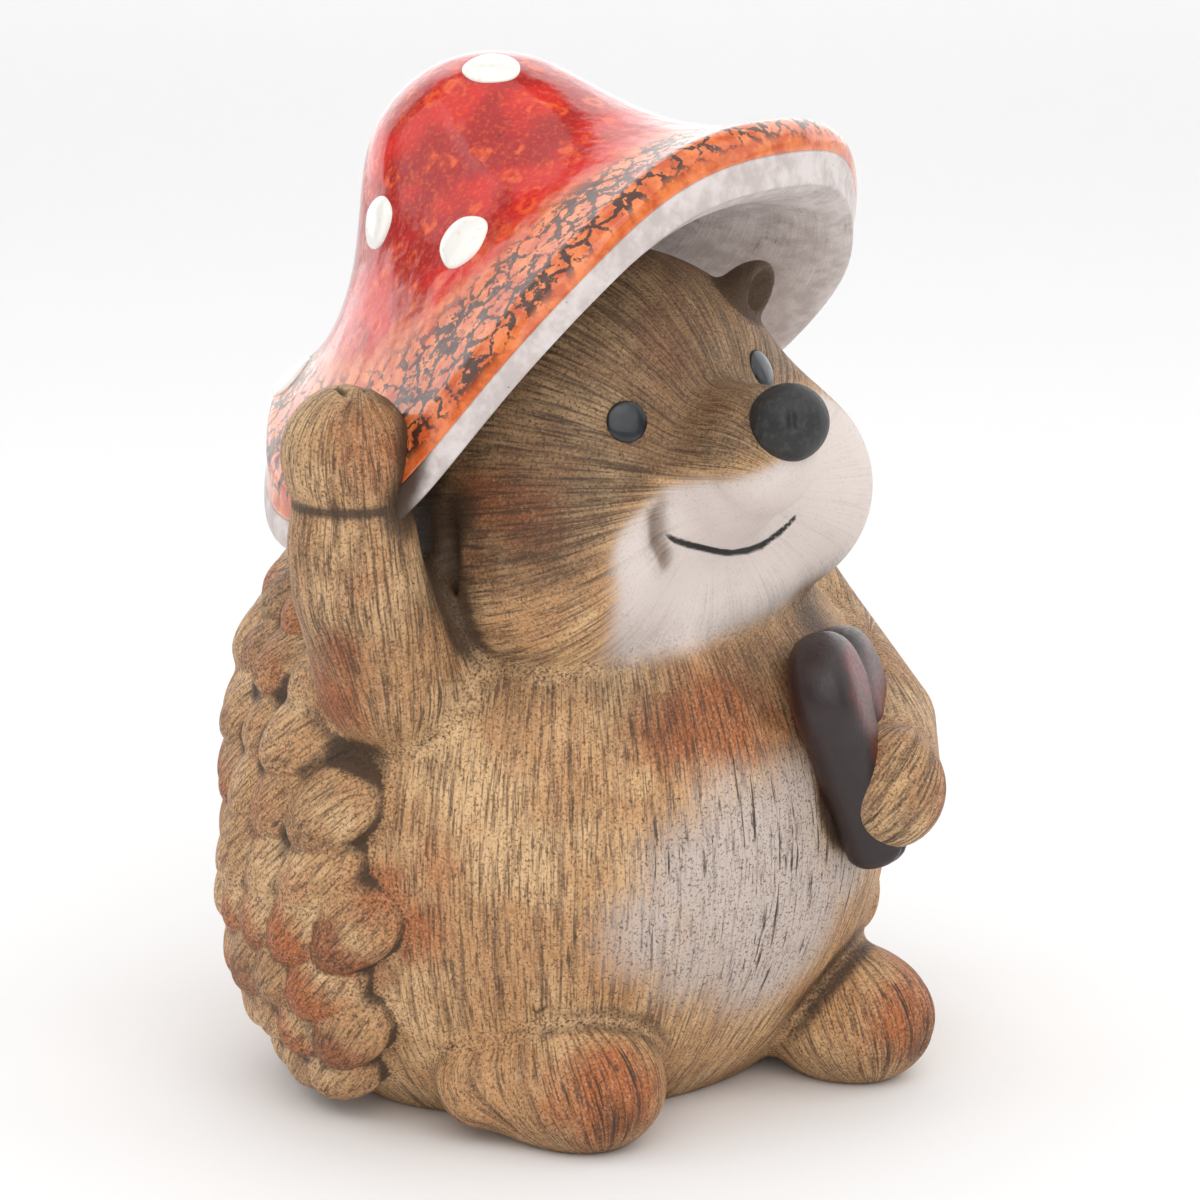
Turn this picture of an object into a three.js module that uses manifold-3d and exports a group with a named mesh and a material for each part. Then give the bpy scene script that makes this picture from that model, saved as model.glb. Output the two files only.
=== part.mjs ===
import * as THREE from 'three';
import { mergeVertices } from 'three/addons/utils/BufferGeometryUtils.js';
import Module from 'manifold-3d';

// A glazed earthenware hedgehog, sitting upright in a toadstool hat. It lifts its right paw to the brim and
// holds a heart against its left side. Millimetres, +Z up. It faces -Y, so its right side is -X. The origin
// is on the table, in the flat underside of the body.

// What every piece shares
const CLEARANCE = 0.3;
const WALL = 5;
const SOFT_FOLD = 8;

// Body: a round belly, a humped back and a broad seat, melted together. Belly and seat bulge to the left
const BELLY_WIDTH = 107;
const BELLY_DEPTH = 97;
const BELLY_HEIGHT = 95;
const BELLY_UNDERCUT = 5;
const BELLY_BACK = 3;
const BELLY_SIDE = 2;
const SEAT_SIDE = 5;
const BACK_WIDTH = 87;
const BACK_DEPTH = 82;
const BACK_HEIGHT = 80;
const BACK_RISE = 3;
const BACK_SET = 6;
const SEAT_WIDTH = 113;
const SEAT_DEPTH = 79;
const SEAT_HEIGHT = 65;
const SEAT_UNDERCUT = 11;
const SEAT_SET = 4.5;
const DRAIN_DIAMETER = 18;
const DRAIN_SET = 10;

// Head: a skull, two cheeks, a chin and a muzzle, in a frame that tilts towards the raised paw
const HEAD_TILT = 7;
const HEAD_RISE = 8;
const HEAD_FORWARD = 9;
const SKULL_WIDTH = 70;
const SKULL_DEPTH = 63;
const SKULL_HEIGHT = 62;
const SKULL_SIDE = -2;
const SKULL_BACK = 1.5;
const SKULL_LIFT = 2.5;
const CHEEK_WIDTH = 37.2;
const CHEEK_DEPTH = 38;
const CHEEK_HEIGHT = 36;
const CHEEK_SPACING = 44;
const CHEEK_DROP = 9.5;
const CHEEK_FORWARD = 10.5;
const CHIN_WIDTH = 40;
const CHIN_DEPTH = 28;
const CHIN_HEIGHT = 18;
const CHIN_DROP = 21;
const CHIN_FORWARD = 14;
const MUZZLE_ROOT_RADIUS = 17.5;
const MUZZLE_TIP_RADIUS = 10;
const MUZZLE_REACH = 34;
const MUZZLE_ROOT_DROP = 1.5;
const MUZZLE_LIFT = 6;
const NOSE_WIDTH = 13.2;
const NOSE_HEIGHT = 12.2;
const NOSE_FORWARD = 7.5;
const NOSE_LIFT = 6.2;
const EYE_DIAMETER = 6.4;
const EYE_SPACING = 29.2;
const EYE_LIFT = 12.8;
const EYE_FORWARD = 25;
const EYE_BULGE = 1.4;
const EAR_WIDTH = 10;
const EAR_HEIGHT = 15;
const EAR_DEPTH = 8;
const EAR_SPREAD = 42;
const RIGHT_EAR_FORWARD = 0.1;
const LEFT_EAR_FORWARD = 0.42;
const NECK_HOLE_DIAMETER = 26;

// Hat: a dome that flares to a thick rolled lip, over a dished underside
const HAT_RADIUS = 52;
const HAT_HEIGHT = 53;
const HAT_LEAN_BACK = 30.6;
const HAT_LEAN_SIDE = 11.2;
const HAT_ON_HEAD = 11.9;
const HAT_SET_BACK = 8.5;
const HAT_SET_SIDE = -0.3;
const DOME_RADIUS = 21;
const DOME_SHIFT = 3.9;
const DOME_SHIFT_TURN = -36;
const LIP_RADIUS = 6;
const FLARE_FALL = 12;
const FLARE_SPREAD = 26;
const UNDERSIDE_RISE = 21;
const UNDERSIDE_CURVE = 1.45;
const PAINT_LINE_INSET = 0.5;
const LINING_THICKNESS = 4.5;
const BRIM_SADDLE = 10.9;
const SADDLE_TURN = 105.3;
const BRIM_TWIST = 2.9;
const TWIST_TURN = -9;
const BRIM_OVAL = 0.05;
const BRIM_BEND_START = 0.27;
const BRIM_BEND_SPAN = 0.7;
const BRIM_BEND_POWER = 1.6;
const SPOT_DIAMETER = 9;
const SPOT_PROUD = 1.2;
// Each spot: its turn round the dome in degrees, and its share of the way from the top to the paint line
const SPOTS = [[266, 0.22], [177, 0.42], [217, 0.6], [125, 0.86], [20, 0.38], [80, 0.6], [330, 0.62]];

// Limbs and heart
const SHOULDER_RADIUS = 13;
const WRIST_RADIUS = 10;
const PAW_WIDTH = 21.5;
const PAW_HEIGHT = 21.5;
const PAW_TURN = 178;
const PAW_SHARE = 0.8;
const PAW_CUP = 9;
const PAW_FACING = [-0.65, -0.72, 0.24];
const LEFT_PAW_WIDTH = 16.4;
const LEFT_PAW_DEPTH = 17.2;
const LEFT_PAW_HEIGHT = 19.2;
const LEFT_PAW_AIM = [0.38, -0.91, 0.14];
const LEFT_PAW_STAND = 7.5;
// Shoulders are measured from the middle of the belly. The left elbow is measured from its shoulder, and the
// right one from the line between shoulder and wrist. The left forearm is measured from the line between
// elbow and paw, and the right one from the wrist
const RIGHT_SHOULDER = [-29, -5, 23.75];
const RIGHT_ELBOW_SHARE = 0.42;
const RIGHT_ELBOW = [-6, 1, -7];
const RIGHT_FOREARM = [1, 0, -9];
const RIGHT_WRIST = [-1.5, -2.5, -10.75];
const LEFT_SHOULDER = [37.5, -2, 33];
const LEFT_ELBOW = [9.5, -6.5, -13.5];
const LEFT_FOREARM_SHARE = 0.5;
const LEFT_FOREARM = [2.5, -4, -1.5];
const FOOT_WIDTH = 26.4;
const FOOT_LENGTH = 31.6;
const FOOT_HEIGHT = 19;
const FOOT_UNDERCUT = 2;
const FOOT_SPACING = 55.5;
const FOOT_SIDE = 3;
const FOOT_TUCK = 17;
const FOOT_SKEW = 2;
const HAUNCH_RADIUS = 8.5;
const HAUNCH_OUT = 11;
const HAUNCH_BACK = 9;
const HEART_WIDTH = 36;
const HEART_HEIGHT = 43;
const HEART_THICKNESS = 11;
const HEART_TURN = -11;
const HEART_LOBE_RADIUS = 10.2;
const HEART_TIP_RADIUS = 2.6;
const HEART_SINK = 3.9;
const HEART_AIM = [0.385, -0.89, 0.21];
const HEART_FACING = [0.59, -0.74, 0.27];

// Quills: rows of overlapping lobes that shrink towards the base
const QUILL_TOP = 84;
const QUILL_WIDTH = 12;
const QUILL_SHRINK = 0.35;
const QUILL_LEAST_WIDTH = 9.2;
const QUILL_OVERLAP = 1.2;
const QUILL_LENGTH_RATIO = 1.45;
const QUILL_THICKNESS_RATIO = 0.62;
const QUILL_SPACING = 0.95;
const QUILL_LEAN = 0.27;
const QUILL_STAND = 0.15;
const QUILL_SLIDE = 0.1;
const QUILL_TURN_BACK = 0.9;
const ROW_STEP = 0.85;
const ROW_LEAST_HEIGHT = 4;
const BAND_COUNT = 4;
const UPRIGHT_LEVELS = [14, 65];
const COAT_REACH = 45;
// Each step of the coat's front edge: its height, and its angle round from the middle of the back
const COAT_EDGE = [[0, 90], [12, 95], [38, 101], [65, 92], [95, 84]];

const wasm = await Module();
wasm.setup();

const vec = (x = 0, y = 0, z = 0) => new THREE.Vector3(x, y, z);
const radians = THREE.MathUtils.degToRad;
const clamp = THREE.MathUtils.clamp;

// Shapes as distances: each function takes a point and says how far outside the surface it lies

function ball(centre, size, turn = new THREE.Quaternion()) {
  const back = turn.clone().invert();
  const half = size.clone().multiplyScalar(0.5);
  return (point) => {
    const q = point.clone().sub(centre).applyQuaternion(back).divide(half);
    const near = q.length();
    const slope = q.clone().divide(half).length() + 1e-6;
    return near * (near - 1) / slope;
  };
}

function taper(start, end, startRadius, endRadius) {
  const along = end.clone().sub(start);
  return (point) => {
    const t = clamp(point.clone().sub(start).dot(along) / along.lengthSq(), 0, 1);
    const centre = start.clone().addScaledVector(along, t);
    return point.distanceTo(centre) - THREE.MathUtils.lerp(startRadius, endRadius, t);
  };
}

function melt(softness, ...shapes) {
  return (point) => shapes.map((shape) => shape(point)).reduce((a, b) => {
    const h = clamp(0.5 + 0.5 * (b - a) / softness, 0, 1);
    return b * (1 - h) + a * h - softness * h * (1 - h);
  });
}

function outward(shape, point) {
  const step = 0.5;
  const slope = ['x', 'y', 'z'].map((axis) => {
    const ahead = point.clone();
    const behind = point.clone();
    ahead[axis] += step;
    behind[axis] -= step;
    return shape(ahead) - shape(behind);
  });
  return vec(...slope).normalize();
}

// How far a ray from the middle travels before it leaves the shape grown by so much
function reachAlong(shape, middle, direction, growth = 0) {
  let inside = 0;
  let outside = 120;
  for (let i = 0; i < 30; i += 1) {
    const half = (inside + outside) / 2;
    if (shape(middle.clone().addScaledVector(direction, half)) < growth) {
      inside = half;
    } else {
      outside = half;
    }
  }
  return inside;
}

function surfacePoint(shape, middle, direction) {
  return middle.clone().addScaledVector(direction, reachAlong(shape, middle, direction));
}

// Closed meshes and solids

function closed(geometry) {
  const bare = geometry.clone();
  bare.deleteAttribute('normal');
  bare.deleteAttribute('uv');
  return mergeVertices(bare, 1e-4);
}

function solid(geometry) {
  const merged = closed(geometry);
  const mesh = new wasm.Mesh({
    numProp: 3,
    vertProperties: new Float32Array(merged.attributes.position.array),
    triVerts: new Uint32Array(merged.index.array),
  });
  return new wasm.Manifold(mesh);
}

// A skin pulled over a shape: every point of a fine ball slides out along its ray until it meets the surface
function skin(shape, middle, detail, growth = 0) {
  const geometry = closed(new THREE.IcosahedronGeometry(1, detail));
  const points = geometry.attributes.position;
  for (let i = 0; i < points.count; i += 1) {
    const direction = vec().fromBufferAttribute(points, i).normalize();
    const point = middle.clone().addScaledVector(direction, reachAlong(shape, middle, direction, growth));
    points.setXYZ(i, point.x, point.y, point.z);
  }
  return solid(geometry);
}

// A limb: rings of growing and shrinking radius along a bent line, closed by rounded ends
function limb(stops, radii, growth = 0) {
  const sides = 10;
  const steps = 7;
  const capSteps = 3;
  const line = new THREE.CatmullRomCurve3(stops);
  const rings = [];
  const radiusAt = (t) => {
    const place = t * (radii.length - 1);
    const i = Math.min(Math.floor(place), radii.length - 2);
    return THREE.MathUtils.lerp(radii[i], radii[i + 1], place - i) + growth;
  };
  for (let i = 1; i < capSteps; i += 1) {
    const a = Math.PI / 2 * i / capSteps;
    rings.push([0, -Math.cos(a), Math.sin(a)]);
  }
  for (let i = 0; i <= steps; i += 1) {
    rings.push([i / steps, 0, 1]);
  }
  for (let i = capSteps - 1; i > 0; i -= 1) {
    const a = Math.PI / 2 * i / capSteps;
    rings.push([1, Math.cos(a), Math.sin(a)]);
  }
  const positions = [];
  const put = (t, shift, share, angle) => {
    const tangent = line.getTangent(t);
    const side = vec(0, 1, 0).cross(tangent).normalize();
    const up = tangent.clone().cross(side);
    const radius = radiusAt(t);
    const point = line.getPoint(t).addScaledVector(tangent, shift * radius);
    point.addScaledVector(side, share * radius * Math.cos(angle));
    point.addScaledVector(up, share * radius * Math.sin(angle));
    positions.push(point.x, point.y, point.z);
  };
  put(0, -1, 0, 0);
  rings.forEach(([t, shift, share]) => {
    for (let s = 0; s < sides; s += 1) {
      put(t, shift, share, 2 * Math.PI * s / sides);
    }
  });
  put(1, 1, 0, 0);
  const last = positions.length / 3 - 1;
  const index = [];
  for (let s = 0; s < sides; s += 1) {
    const next = (s + 1) % sides;
    index.push(0, 1 + next, 1 + s);
    index.push(last, last - sides + s, last - sides + next);
    for (let ring = 0; ring < rings.length - 1; ring += 1) {
      const low = 1 + ring * sides;
      const high = low + sides;
      index.push(low + s, low + next, high + next);
      index.push(low + s, high + next, high + s);
    }
  }
  const geometry = new THREE.BufferGeometry();
  geometry.setAttribute('position', new THREE.Float32BufferAttribute(positions, 3));
  geometry.setIndex(index);
  return solid(geometry);
}

function largest(body) {
  const bodies = body.decompose();
  return bodies.reduce((best, next) => (next.volume() > best.volume() ? next : best));
}

const figure = new THREE.Group();

// Adds a finished piece: its mesh is measured from its own seat, and the seat places it in the figure
function piece(name, body, finish, seat = new THREE.Matrix4()) {
  const { vertProperties, triVerts } = largest(body).getMesh();
  const geometry = new THREE.BufferGeometry();
  geometry.setAttribute('position', new THREE.Float32BufferAttribute(vertProperties, 3));
  geometry.setIndex(Array.from(triVerts));
  geometry.applyMatrix4(seat.clone().invert());
  const mesh = new THREE.Mesh(geometry, finish);
  mesh.name = name;
  mesh.applyMatrix4(seat);
  figure.add(mesh);
}

function finish(color, roughness) {
  return new THREE.MeshStandardMaterial({ color, roughness, metalness: 0 });
}

const tanClay = finish(0xb0936a, 0.7);
const rustClay = finish(0xa8733f, 0.7);
const quillClay = finish(0x927047, 0.75);
const redGlaze = finish(0xc42312, 0.1);
const creamPaint = finish(0xe4dcd6, 0.6);
const whiteGlaze = finish(0xf4efe6, 0.2);
const maroonGlaze = finish(0x3c1518, 0.35);
const blackPaint = finish(0x2a2a2b, 0.6);
const blackGlaze = finish(0x0c1016, 0.15);

// Everything below the table is cut away, so that the figure stands flat
const FAR = 400;
const underTable = solid(new THREE.BoxGeometry(FAR, FAR, FAR).translate(0, 0, -FAR / 2));

// Body
const bellyMiddle = vec(0, BELLY_BACK, (BELLY_HEIGHT - BELLY_UNDERCUT) / 2);
const bodyShape = melt(
  SOFT_FOLD,
  ball(bellyMiddle.clone().setX(BELLY_SIDE), vec(BELLY_WIDTH, BELLY_DEPTH, BELLY_HEIGHT + BELLY_UNDERCUT)),
  ball(
    vec(0, BELLY_BACK + BACK_SET, BELLY_HEIGHT + BACK_RISE - BACK_HEIGHT / 2),
    vec(BACK_WIDTH, BACK_DEPTH, BACK_HEIGHT),
  ),
  ball(
    vec(SEAT_SIDE, BELLY_BACK + SEAT_SET, (SEAT_HEIGHT - SEAT_UNDERCUT) / 2),
    vec(SEAT_WIDTH, SEAT_DEPTH, SEAT_HEIGHT + SEAT_UNDERCUT),
  ),
);
const body = (growth = 0, detail = 5) => skin(bodyShape, bellyMiddle, detail, growth);
const bellyFront = BELLY_BACK - BELLY_DEPTH / 2;

// Head frame and head
const headMiddle = vec(0, BELLY_BACK - HEAD_FORWARD, BELLY_HEIGHT + HEAD_RISE);
const headTurn = new THREE.Quaternion().setFromAxisAngle(vec(0, 1, 0), -radians(HEAD_TILT));
const onHead = (x, y, z) => vec(x, y, z).applyQuaternion(headTurn).add(headMiddle);
const sides = [['right', -1, RIGHT_EAR_FORWARD], ['left', 1, LEFT_EAR_FORWARD]];
const headShape = melt(
  SOFT_FOLD,
  ball(onHead(SKULL_SIDE, SKULL_BACK, SKULL_LIFT), vec(SKULL_WIDTH, SKULL_DEPTH, SKULL_HEIGHT), headTurn),
  ...sides.map(([, side]) => ball(
    onHead(side * CHEEK_SPACING / 2, -CHEEK_FORWARD, -CHEEK_DROP),
    vec(CHEEK_WIDTH, CHEEK_DEPTH, CHEEK_HEIGHT),
    headTurn,
  )),
  taper(
    onHead(0, -MUZZLE_ROOT_RADIUS, -MUZZLE_ROOT_DROP),
    onHead(0, -MUZZLE_REACH, MUZZLE_LIFT),
    MUZZLE_ROOT_RADIUS,
    MUZZLE_TIP_RADIUS,
  ),
  ball(onHead(0, -CHIN_FORWARD, -CHIN_DROP), vec(CHIN_WIDTH, CHIN_DEPTH, CHIN_HEIGHT), headTurn),
);
// Every ray from here leaves the head once
const headCore = onHead(0, -5, -3);
const head = (growth = 0, detail = 7) => skin(headShape, headCore, detail, growth);
const headSeat = new THREE.Matrix4().compose(headMiddle, headTurn, vec(1, 1, 1));

// Hat frame: it leans back and towards the raised paw
const hatTurn = new THREE.Quaternion()
  .setFromAxisAngle(vec(0, 1, 0), -radians(HAT_LEAN_SIDE))
  .multiply(new THREE.Quaternion().setFromAxisAngle(vec(1, 0, 0), -radians(HAT_LEAN_BACK)));
const hatMiddle = headMiddle.clone().add(vec(HAT_SET_SIDE, HAT_SET_BACK, HAT_ON_HEAD));
const hatSeat = new THREE.Matrix4().compose(hatMiddle, hatTurn, vec(1, 1, 1));

// The hat isn't round: the brim droops at the sides and lifts at the front and back, less and less towards
// the dome, and everything above the lip sits a little to one side
function bendHat(point) {
  const radius = Math.hypot(point.x, point.y);
  const angle = Math.atan2(point.y, point.x);
  const brim = clamp((radius / HAT_RADIUS - BRIM_BEND_START) / BRIM_BEND_SPAN, 0, 1) ** BRIM_BEND_POWER;
  const saddle = BRIM_SADDLE * Math.cos(2 * (angle - radians(SADDLE_TURN)));
  const twist = BRIM_TWIST * Math.cos(3 * (angle - radians(TWIST_TURN)));
  const oval = 1 + BRIM_OVAL * clamp(2 * radius / HAT_RADIUS - 1, 0, 1) * Math.cos(2 * angle);
  const shift = DOME_SHIFT * THREE.MathUtils.smoothstep(point.z, 0, LIP_RADIUS + 2);
  return vec(
    radius * oval * Math.cos(angle) + shift * Math.cos(radians(DOME_SHIFT_TURN)),
    radius * oval * Math.sin(angle) + shift * Math.sin(radians(DOME_SHIFT_TURN)),
    point.z + brim * (saddle + twist),
  );
}

function hatPart(outline) {
  const around = 28;
  const geometry = new THREE.LatheGeometry(outline.reverse(), around).rotateX(Math.PI / 2);
  const points = geometry.attributes.position;
  for (let i = 0; i < points.count; i += 1) {
    const point = bendHat(vec().fromBufferAttribute(points, i)).applyMatrix4(hatSeat);
    points.setXYZ(i, point.x, point.y, point.z);
  }
  return solid(geometry);
}

// The outline runs down the dome and its flare, then round the lip to the paint line, all moved out by
// so much
const LIP_START = radians(60);
const DOME_END = radians(37);
const lipMiddle = HAT_RADIUS - LIP_RADIUS;
const paintLine = HAT_RADIUS - PAINT_LINE_INSET;

function flareCurves(growth) {
  const dome = DOME_RADIUS + growth;
  const lip = LIP_RADIUS + growth;
  const domeHeight = HAT_HEIGHT - DOME_RADIUS;
  const flat = (x, y) => new THREE.Vector2(x, y);
  const start = flat(dome * Math.cos(DOME_END), domeHeight + dome * Math.sin(DOME_END));
  const end = flat(lipMiddle + lip * Math.cos(LIP_START), LIP_RADIUS + lip * Math.sin(LIP_START));
  const fall = start.clone().add(flat(Math.sin(DOME_END), -Math.cos(DOME_END)).multiplyScalar(FLARE_FALL));
  const rise = end.clone().add(flat(-Math.sin(LIP_START), Math.cos(LIP_START)).multiplyScalar(FLARE_SPREAD));
  return [
    new THREE.EllipseCurve(0, domeHeight, dome, dome, Math.PI / 2, DOME_END, true),
    new THREE.CubicBezierCurve(start, fall, rise, end),
  ];
}

function flare(growth) {
  const [dome, slope] = flareCurves(growth);
  return [...dome.getPoints(3), ...slope.getPoints(5).slice(1)];
}

function lipRoll(growth) {
  const lip = LIP_RADIUS + growth;
  return new THREE.EllipseCurve(lipMiddle, LIP_RADIUS, lip, lip, LIP_START, 0, true);
}

function outside(growth) {
  const roll = lipRoll(growth).getPoints(3).slice(1);
  return [...flare(growth), ...roll, new THREE.Vector2(paintLine + growth, -2 * growth)];
}

// The dished underside, from the paint line inwards and up
const dishHeight = (radius) => {
  const share = 1 - radius / paintLine;
  return UNDERSIDE_RISE * Math.sin(Math.PI / 2 * share) ** UNDERSIDE_CURVE;
};

function dish(rise, rim, divisions) {
  const points = [];
  for (let i = 0; i <= divisions; i += 1) {
    const radius = rim * (1 - i / divisions);
    points.push(new THREE.Vector2(radius, rise + dishHeight(radius)));
  }
  return points;
}

// The lining lies in the dish, a clearance inside the hat's wall
const liningGap = 1.5 * CLEARANCE;
const liningRim = paintLine - liningGap;
const liningTop = liningRim - LINING_THICKNESS;
const hatBlock = (growth = 0) => hatPart([
  ...outside(growth),
  ...dish(-2 * growth, paintLine, 6).slice(1),
]);
const hatHollow = hatPart([
  ...flare(-WALL),
  new THREE.Vector2(liningTop + liningGap, LINING_THICKNESS + dishHeight(liningTop)),
  new THREE.Vector2(paintLine, 0),
  new THREE.Vector2(paintLine, -WALL),
  new THREE.Vector2(0, -WALL),
]);
const liningBlock = hatPart([
  ...dish(LINING_THICKNESS, liningTop, 5).reverse(),
  ...dish(0, liningRim, 6),
]);

// A place on the outside of the hat, by its turn round the dome and its share of the way down
function onHat(turn, share) {
  const outline = new THREE.CurvePath();
  const lipEdge = new THREE.Vector2(HAT_RADIUS, LIP_RADIUS);
  const lipFoot = new THREE.LineCurve(lipEdge, new THREE.Vector2(paintLine, 0));
  outline.curves = [...flareCurves(0), lipRoll(0), lipFoot];
  const place = outline.getPoint(share);
  const angle = radians(turn);
  return bendHat(vec(place.x * Math.cos(angle), place.x * Math.sin(angle), place.y)).applyMatrix4(hatSeat);
}

function outOfHat(turn, share) {
  const step = 0.02;
  const down = onHat(turn, share + step).sub(onHat(turn, share - step));
  const round = onHat(turn + 1, share).sub(onHat(turn - 1, share));
  const out = round.cross(down).normalize();
  return out.z < 0 && share < 0.8 ? out.negate() : out;
}

function facing(direction) {
  return new THREE.Quaternion().setFromUnitVectors(vec(0, 0, 1), direction.clone().normalize());
}

function ellipsoid(seat, size, across, down) {
  const geometry = new THREE.SphereGeometry(0.5, across, down).scale(size.x, size.y, size.z);
  return solid(geometry.applyMatrix4(seat));
}

function seatAt(centre, turn = new THREE.Quaternion()) {
  return new THREE.Matrix4().compose(centre, turn, vec(1, 1, 1));
}

// The right arm rises to the brim and rests its paw on it
const rightPaw = onHat(PAW_TURN, PAW_SHARE).addScaledVector(vec(...PAW_FACING), PAW_CUP);
const rightWrist = rightPaw.clone().add(vec(...RIGHT_WRIST));
const rightForearm = rightWrist.clone().add(vec(...RIGHT_FOREARM));
const rightShoulder = bellyMiddle.clone().add(vec(...RIGHT_SHOULDER));
const rightElbow = rightShoulder.clone().lerp(rightWrist, RIGHT_ELBOW_SHARE).add(vec(...RIGHT_ELBOW));
const rightArm = (growth = 0) => limb(
  [rightShoulder, rightElbow, rightForearm, rightWrist],
  [SHOULDER_RADIUS, SHOULDER_RADIUS - 1, WRIST_RADIUS + 1, WRIST_RADIUS],
  growth,
).add(ellipsoid(seatAt(rightPaw), vec(PAW_WIDTH, PAW_WIDTH, PAW_HEIGHT).addScalar(2 * growth), 14, 9));

// The left arm hangs from the shoulder and wraps forward, until its paw presses on the heart
const leftPawAim = vec(...LEFT_PAW_AIM).normalize();
const leftPaw = surfacePoint(bodyShape, bellyMiddle, leftPawAim).addScaledVector(leftPawAim, LEFT_PAW_STAND);
const leftShoulder = bellyMiddle.clone().add(vec(...LEFT_SHOULDER));
const leftElbow = leftShoulder.clone().add(vec(...LEFT_ELBOW));
const leftForearm = leftElbow.clone().lerp(leftPaw, LEFT_FOREARM_SHARE).add(vec(...LEFT_FOREARM));
const leftPawSize = vec(LEFT_PAW_WIDTH, LEFT_PAW_DEPTH, LEFT_PAW_HEIGHT);
const leftArm = (growth = 0) => limb(
  [leftShoulder, leftElbow, leftForearm, leftPaw],
  [SHOULDER_RADIUS - 1, WRIST_RADIUS, WRIST_RADIUS - 1, WRIST_RADIUS - 2],
  growth,
).add(ellipsoid(seatAt(leftPaw), leftPawSize.clone().addScalar(2 * growth), 14, 9));

// Feet, side by side under the front of the belly, each with a haunch that runs outward and back
const foot = (side) => {
  const forward = bellyFront + FOOT_TUCK - side * FOOT_SKEW;
  return vec(FOOT_SIDE + side * FOOT_SPACING / 2, forward, FOOT_HEIGHT / 2);
};
const footBlock = (side, growth = 0) => {
  const haunchEnd = foot(side).add(vec(side * HAUNCH_OUT, HAUNCH_BACK, 0));
  const shape = melt(
    SOFT_FOLD / 2,
    ball(foot(side), vec(FOOT_WIDTH, FOOT_LENGTH, FOOT_HEIGHT + 2 * FOOT_UNDERCUT)),
    taper(foot(side), haunchEnd, HAUNCH_RADIUS, HAUNCH_RADIUS - 1),
  );
  return skin(shape, foot(side), 4, growth);
};

// Heart: two lobes that taper to one point, puffed out on both faces, lying against the left of the chest
const heartPlace = surfacePoint(bodyShape, bellyMiddle, vec(...HEART_AIM).normalize());
const heartOut = vec(...HEART_FACING).normalize();
const heartUp = vec(0, 0, 1).projectOnPlane(heartOut).normalize()
  .applyAxisAngle(heartOut, radians(HEART_TURN));
const heartTurn = new THREE.Quaternion().setFromRotationMatrix(
  new THREE.Matrix4().makeBasis(heartUp.clone().cross(heartOut), heartUp, heartOut),
);
const heartMiddle = heartPlace.clone().addScaledVector(heartOut, HEART_THICKNESS / 2 - HEART_SINK);
const heartSeat = seatAt(heartMiddle, heartTurn);
const heartBlock = (growth = 0) => {
  const lobe = HEART_LOBE_RADIUS;
  const lobeSpot = vec(HEART_WIDTH / 2 - lobe, HEART_HEIGHT / 2 - lobe, 0);
  const tip = vec(0, HEART_TIP_RADIUS - HEART_HEIGHT / 2, 0);
  const puff = HEART_THICKNESS / 2;
  const shape = (point) => {
    const flat = vec(Math.abs(point.x), point.y, 0);
    const side = taper(lobeSpot, tip, lobe, HEART_TIP_RADIUS);
    const outline = Math.min(flat.distanceTo(lobeSpot) - lobe, side(flat));
    return Math.hypot(Math.max(outline + puff, 0), point.z) - puff;
  };
  return skin(shape, vec(0, 0, 0), 4, growth).transform(heartSeat.elements);
};

// Quills: lobes in staggered rows round the back, each leaning out so that its tip covers the row below
function coatEdge(height) {
  const next = Math.max(1, COAT_EDGE.findIndex(([level]) => level > height));
  const [lowLevel, lowEdge] = COAT_EDGE[next - 1];
  const [highLevel, highEdge] = COAT_EDGE[next];
  return THREE.MathUtils.mapLinear(height, lowLevel, highLevel, lowEdge, highEdge);
}

// A place on the back, seen from the middle of the body at a level where the back is nearly upright
function coatPoint(turn, height) {
  const level = clamp(height, ...UPRIGHT_LEVELS);
  const rise = (height - level) / COAT_REACH;
  const direction = vec(Math.sin(turn), Math.cos(turn), rise).normalize();
  return surfacePoint(bodyShape, vec(0, BELLY_BACK, level), direction);
}

function quillRows() {
  const found = [];
  let height = QUILL_TOP;
  let width = QUILL_WIDTH;
  while (height > ROW_LEAST_HEIGHT) {
    const edge = radians(coatEdge(height));
    const girth = coatPoint(Math.PI / 2, height).x;
    const count = Math.round(2 * edge * girth / (QUILL_SPACING * width));
    const stagger = found.length % 2;
    const turnAt = (_, i) => edge * ((2 * i + 1 - stagger) / count - 1);
    const turns = Array.from({ length: count + stagger }, turnAt);
    found.push({ height, width, turns });
    height -= ROW_STEP * width;
    width = Math.max(QUILL_LEAST_WIDTH, width - QUILL_SHRINK);
  }
  return found;
}

function quill(turn, height, width, growth) {
  const root = coatPoint(turn, height);
  const out = outward(bodyShape, root);
  const fall = vec(0, QUILL_TURN_BACK * Math.abs(Math.sin(turn)), -1).projectOnPlane(out).normalize();
  const along = fall.addScaledVector(out, QUILL_LEAN).normalize();
  const across = along.clone().cross(out).normalize();
  const centre = root.addScaledVector(out, QUILL_STAND * width).addScaledVector(along, QUILL_SLIDE * width);
  const seat = new THREE.Matrix4().makeBasis(across, along, across.clone().cross(along)).setPosition(centre);
  const size = vec(QUILL_OVERLAP, QUILL_LENGTH_RATIO, QUILL_THICKNESS_RATIO).multiplyScalar(width);
  size.addScalar(2 * growth);
  const geometry = new THREE.IcosahedronGeometry(0.56, 0).scale(size.x, size.y, size.z);
  return solid(geometry.applyMatrix4(seat));
}

const rows = quillRows();
const bandStart = (band) => Math.round(band * rows.length / BAND_COUNT);
const bands = Array.from({ length: BAND_COUNT }, (_, i) => rows.slice(bandStart(i), bandStart(i + 1)));
const quillBand = (band, growth = 0) => wasm.Manifold.union(
  band.flatMap(({ height, width, turns }) => turns.map((turn) => quill(turn, height, width, growth))),
);

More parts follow.
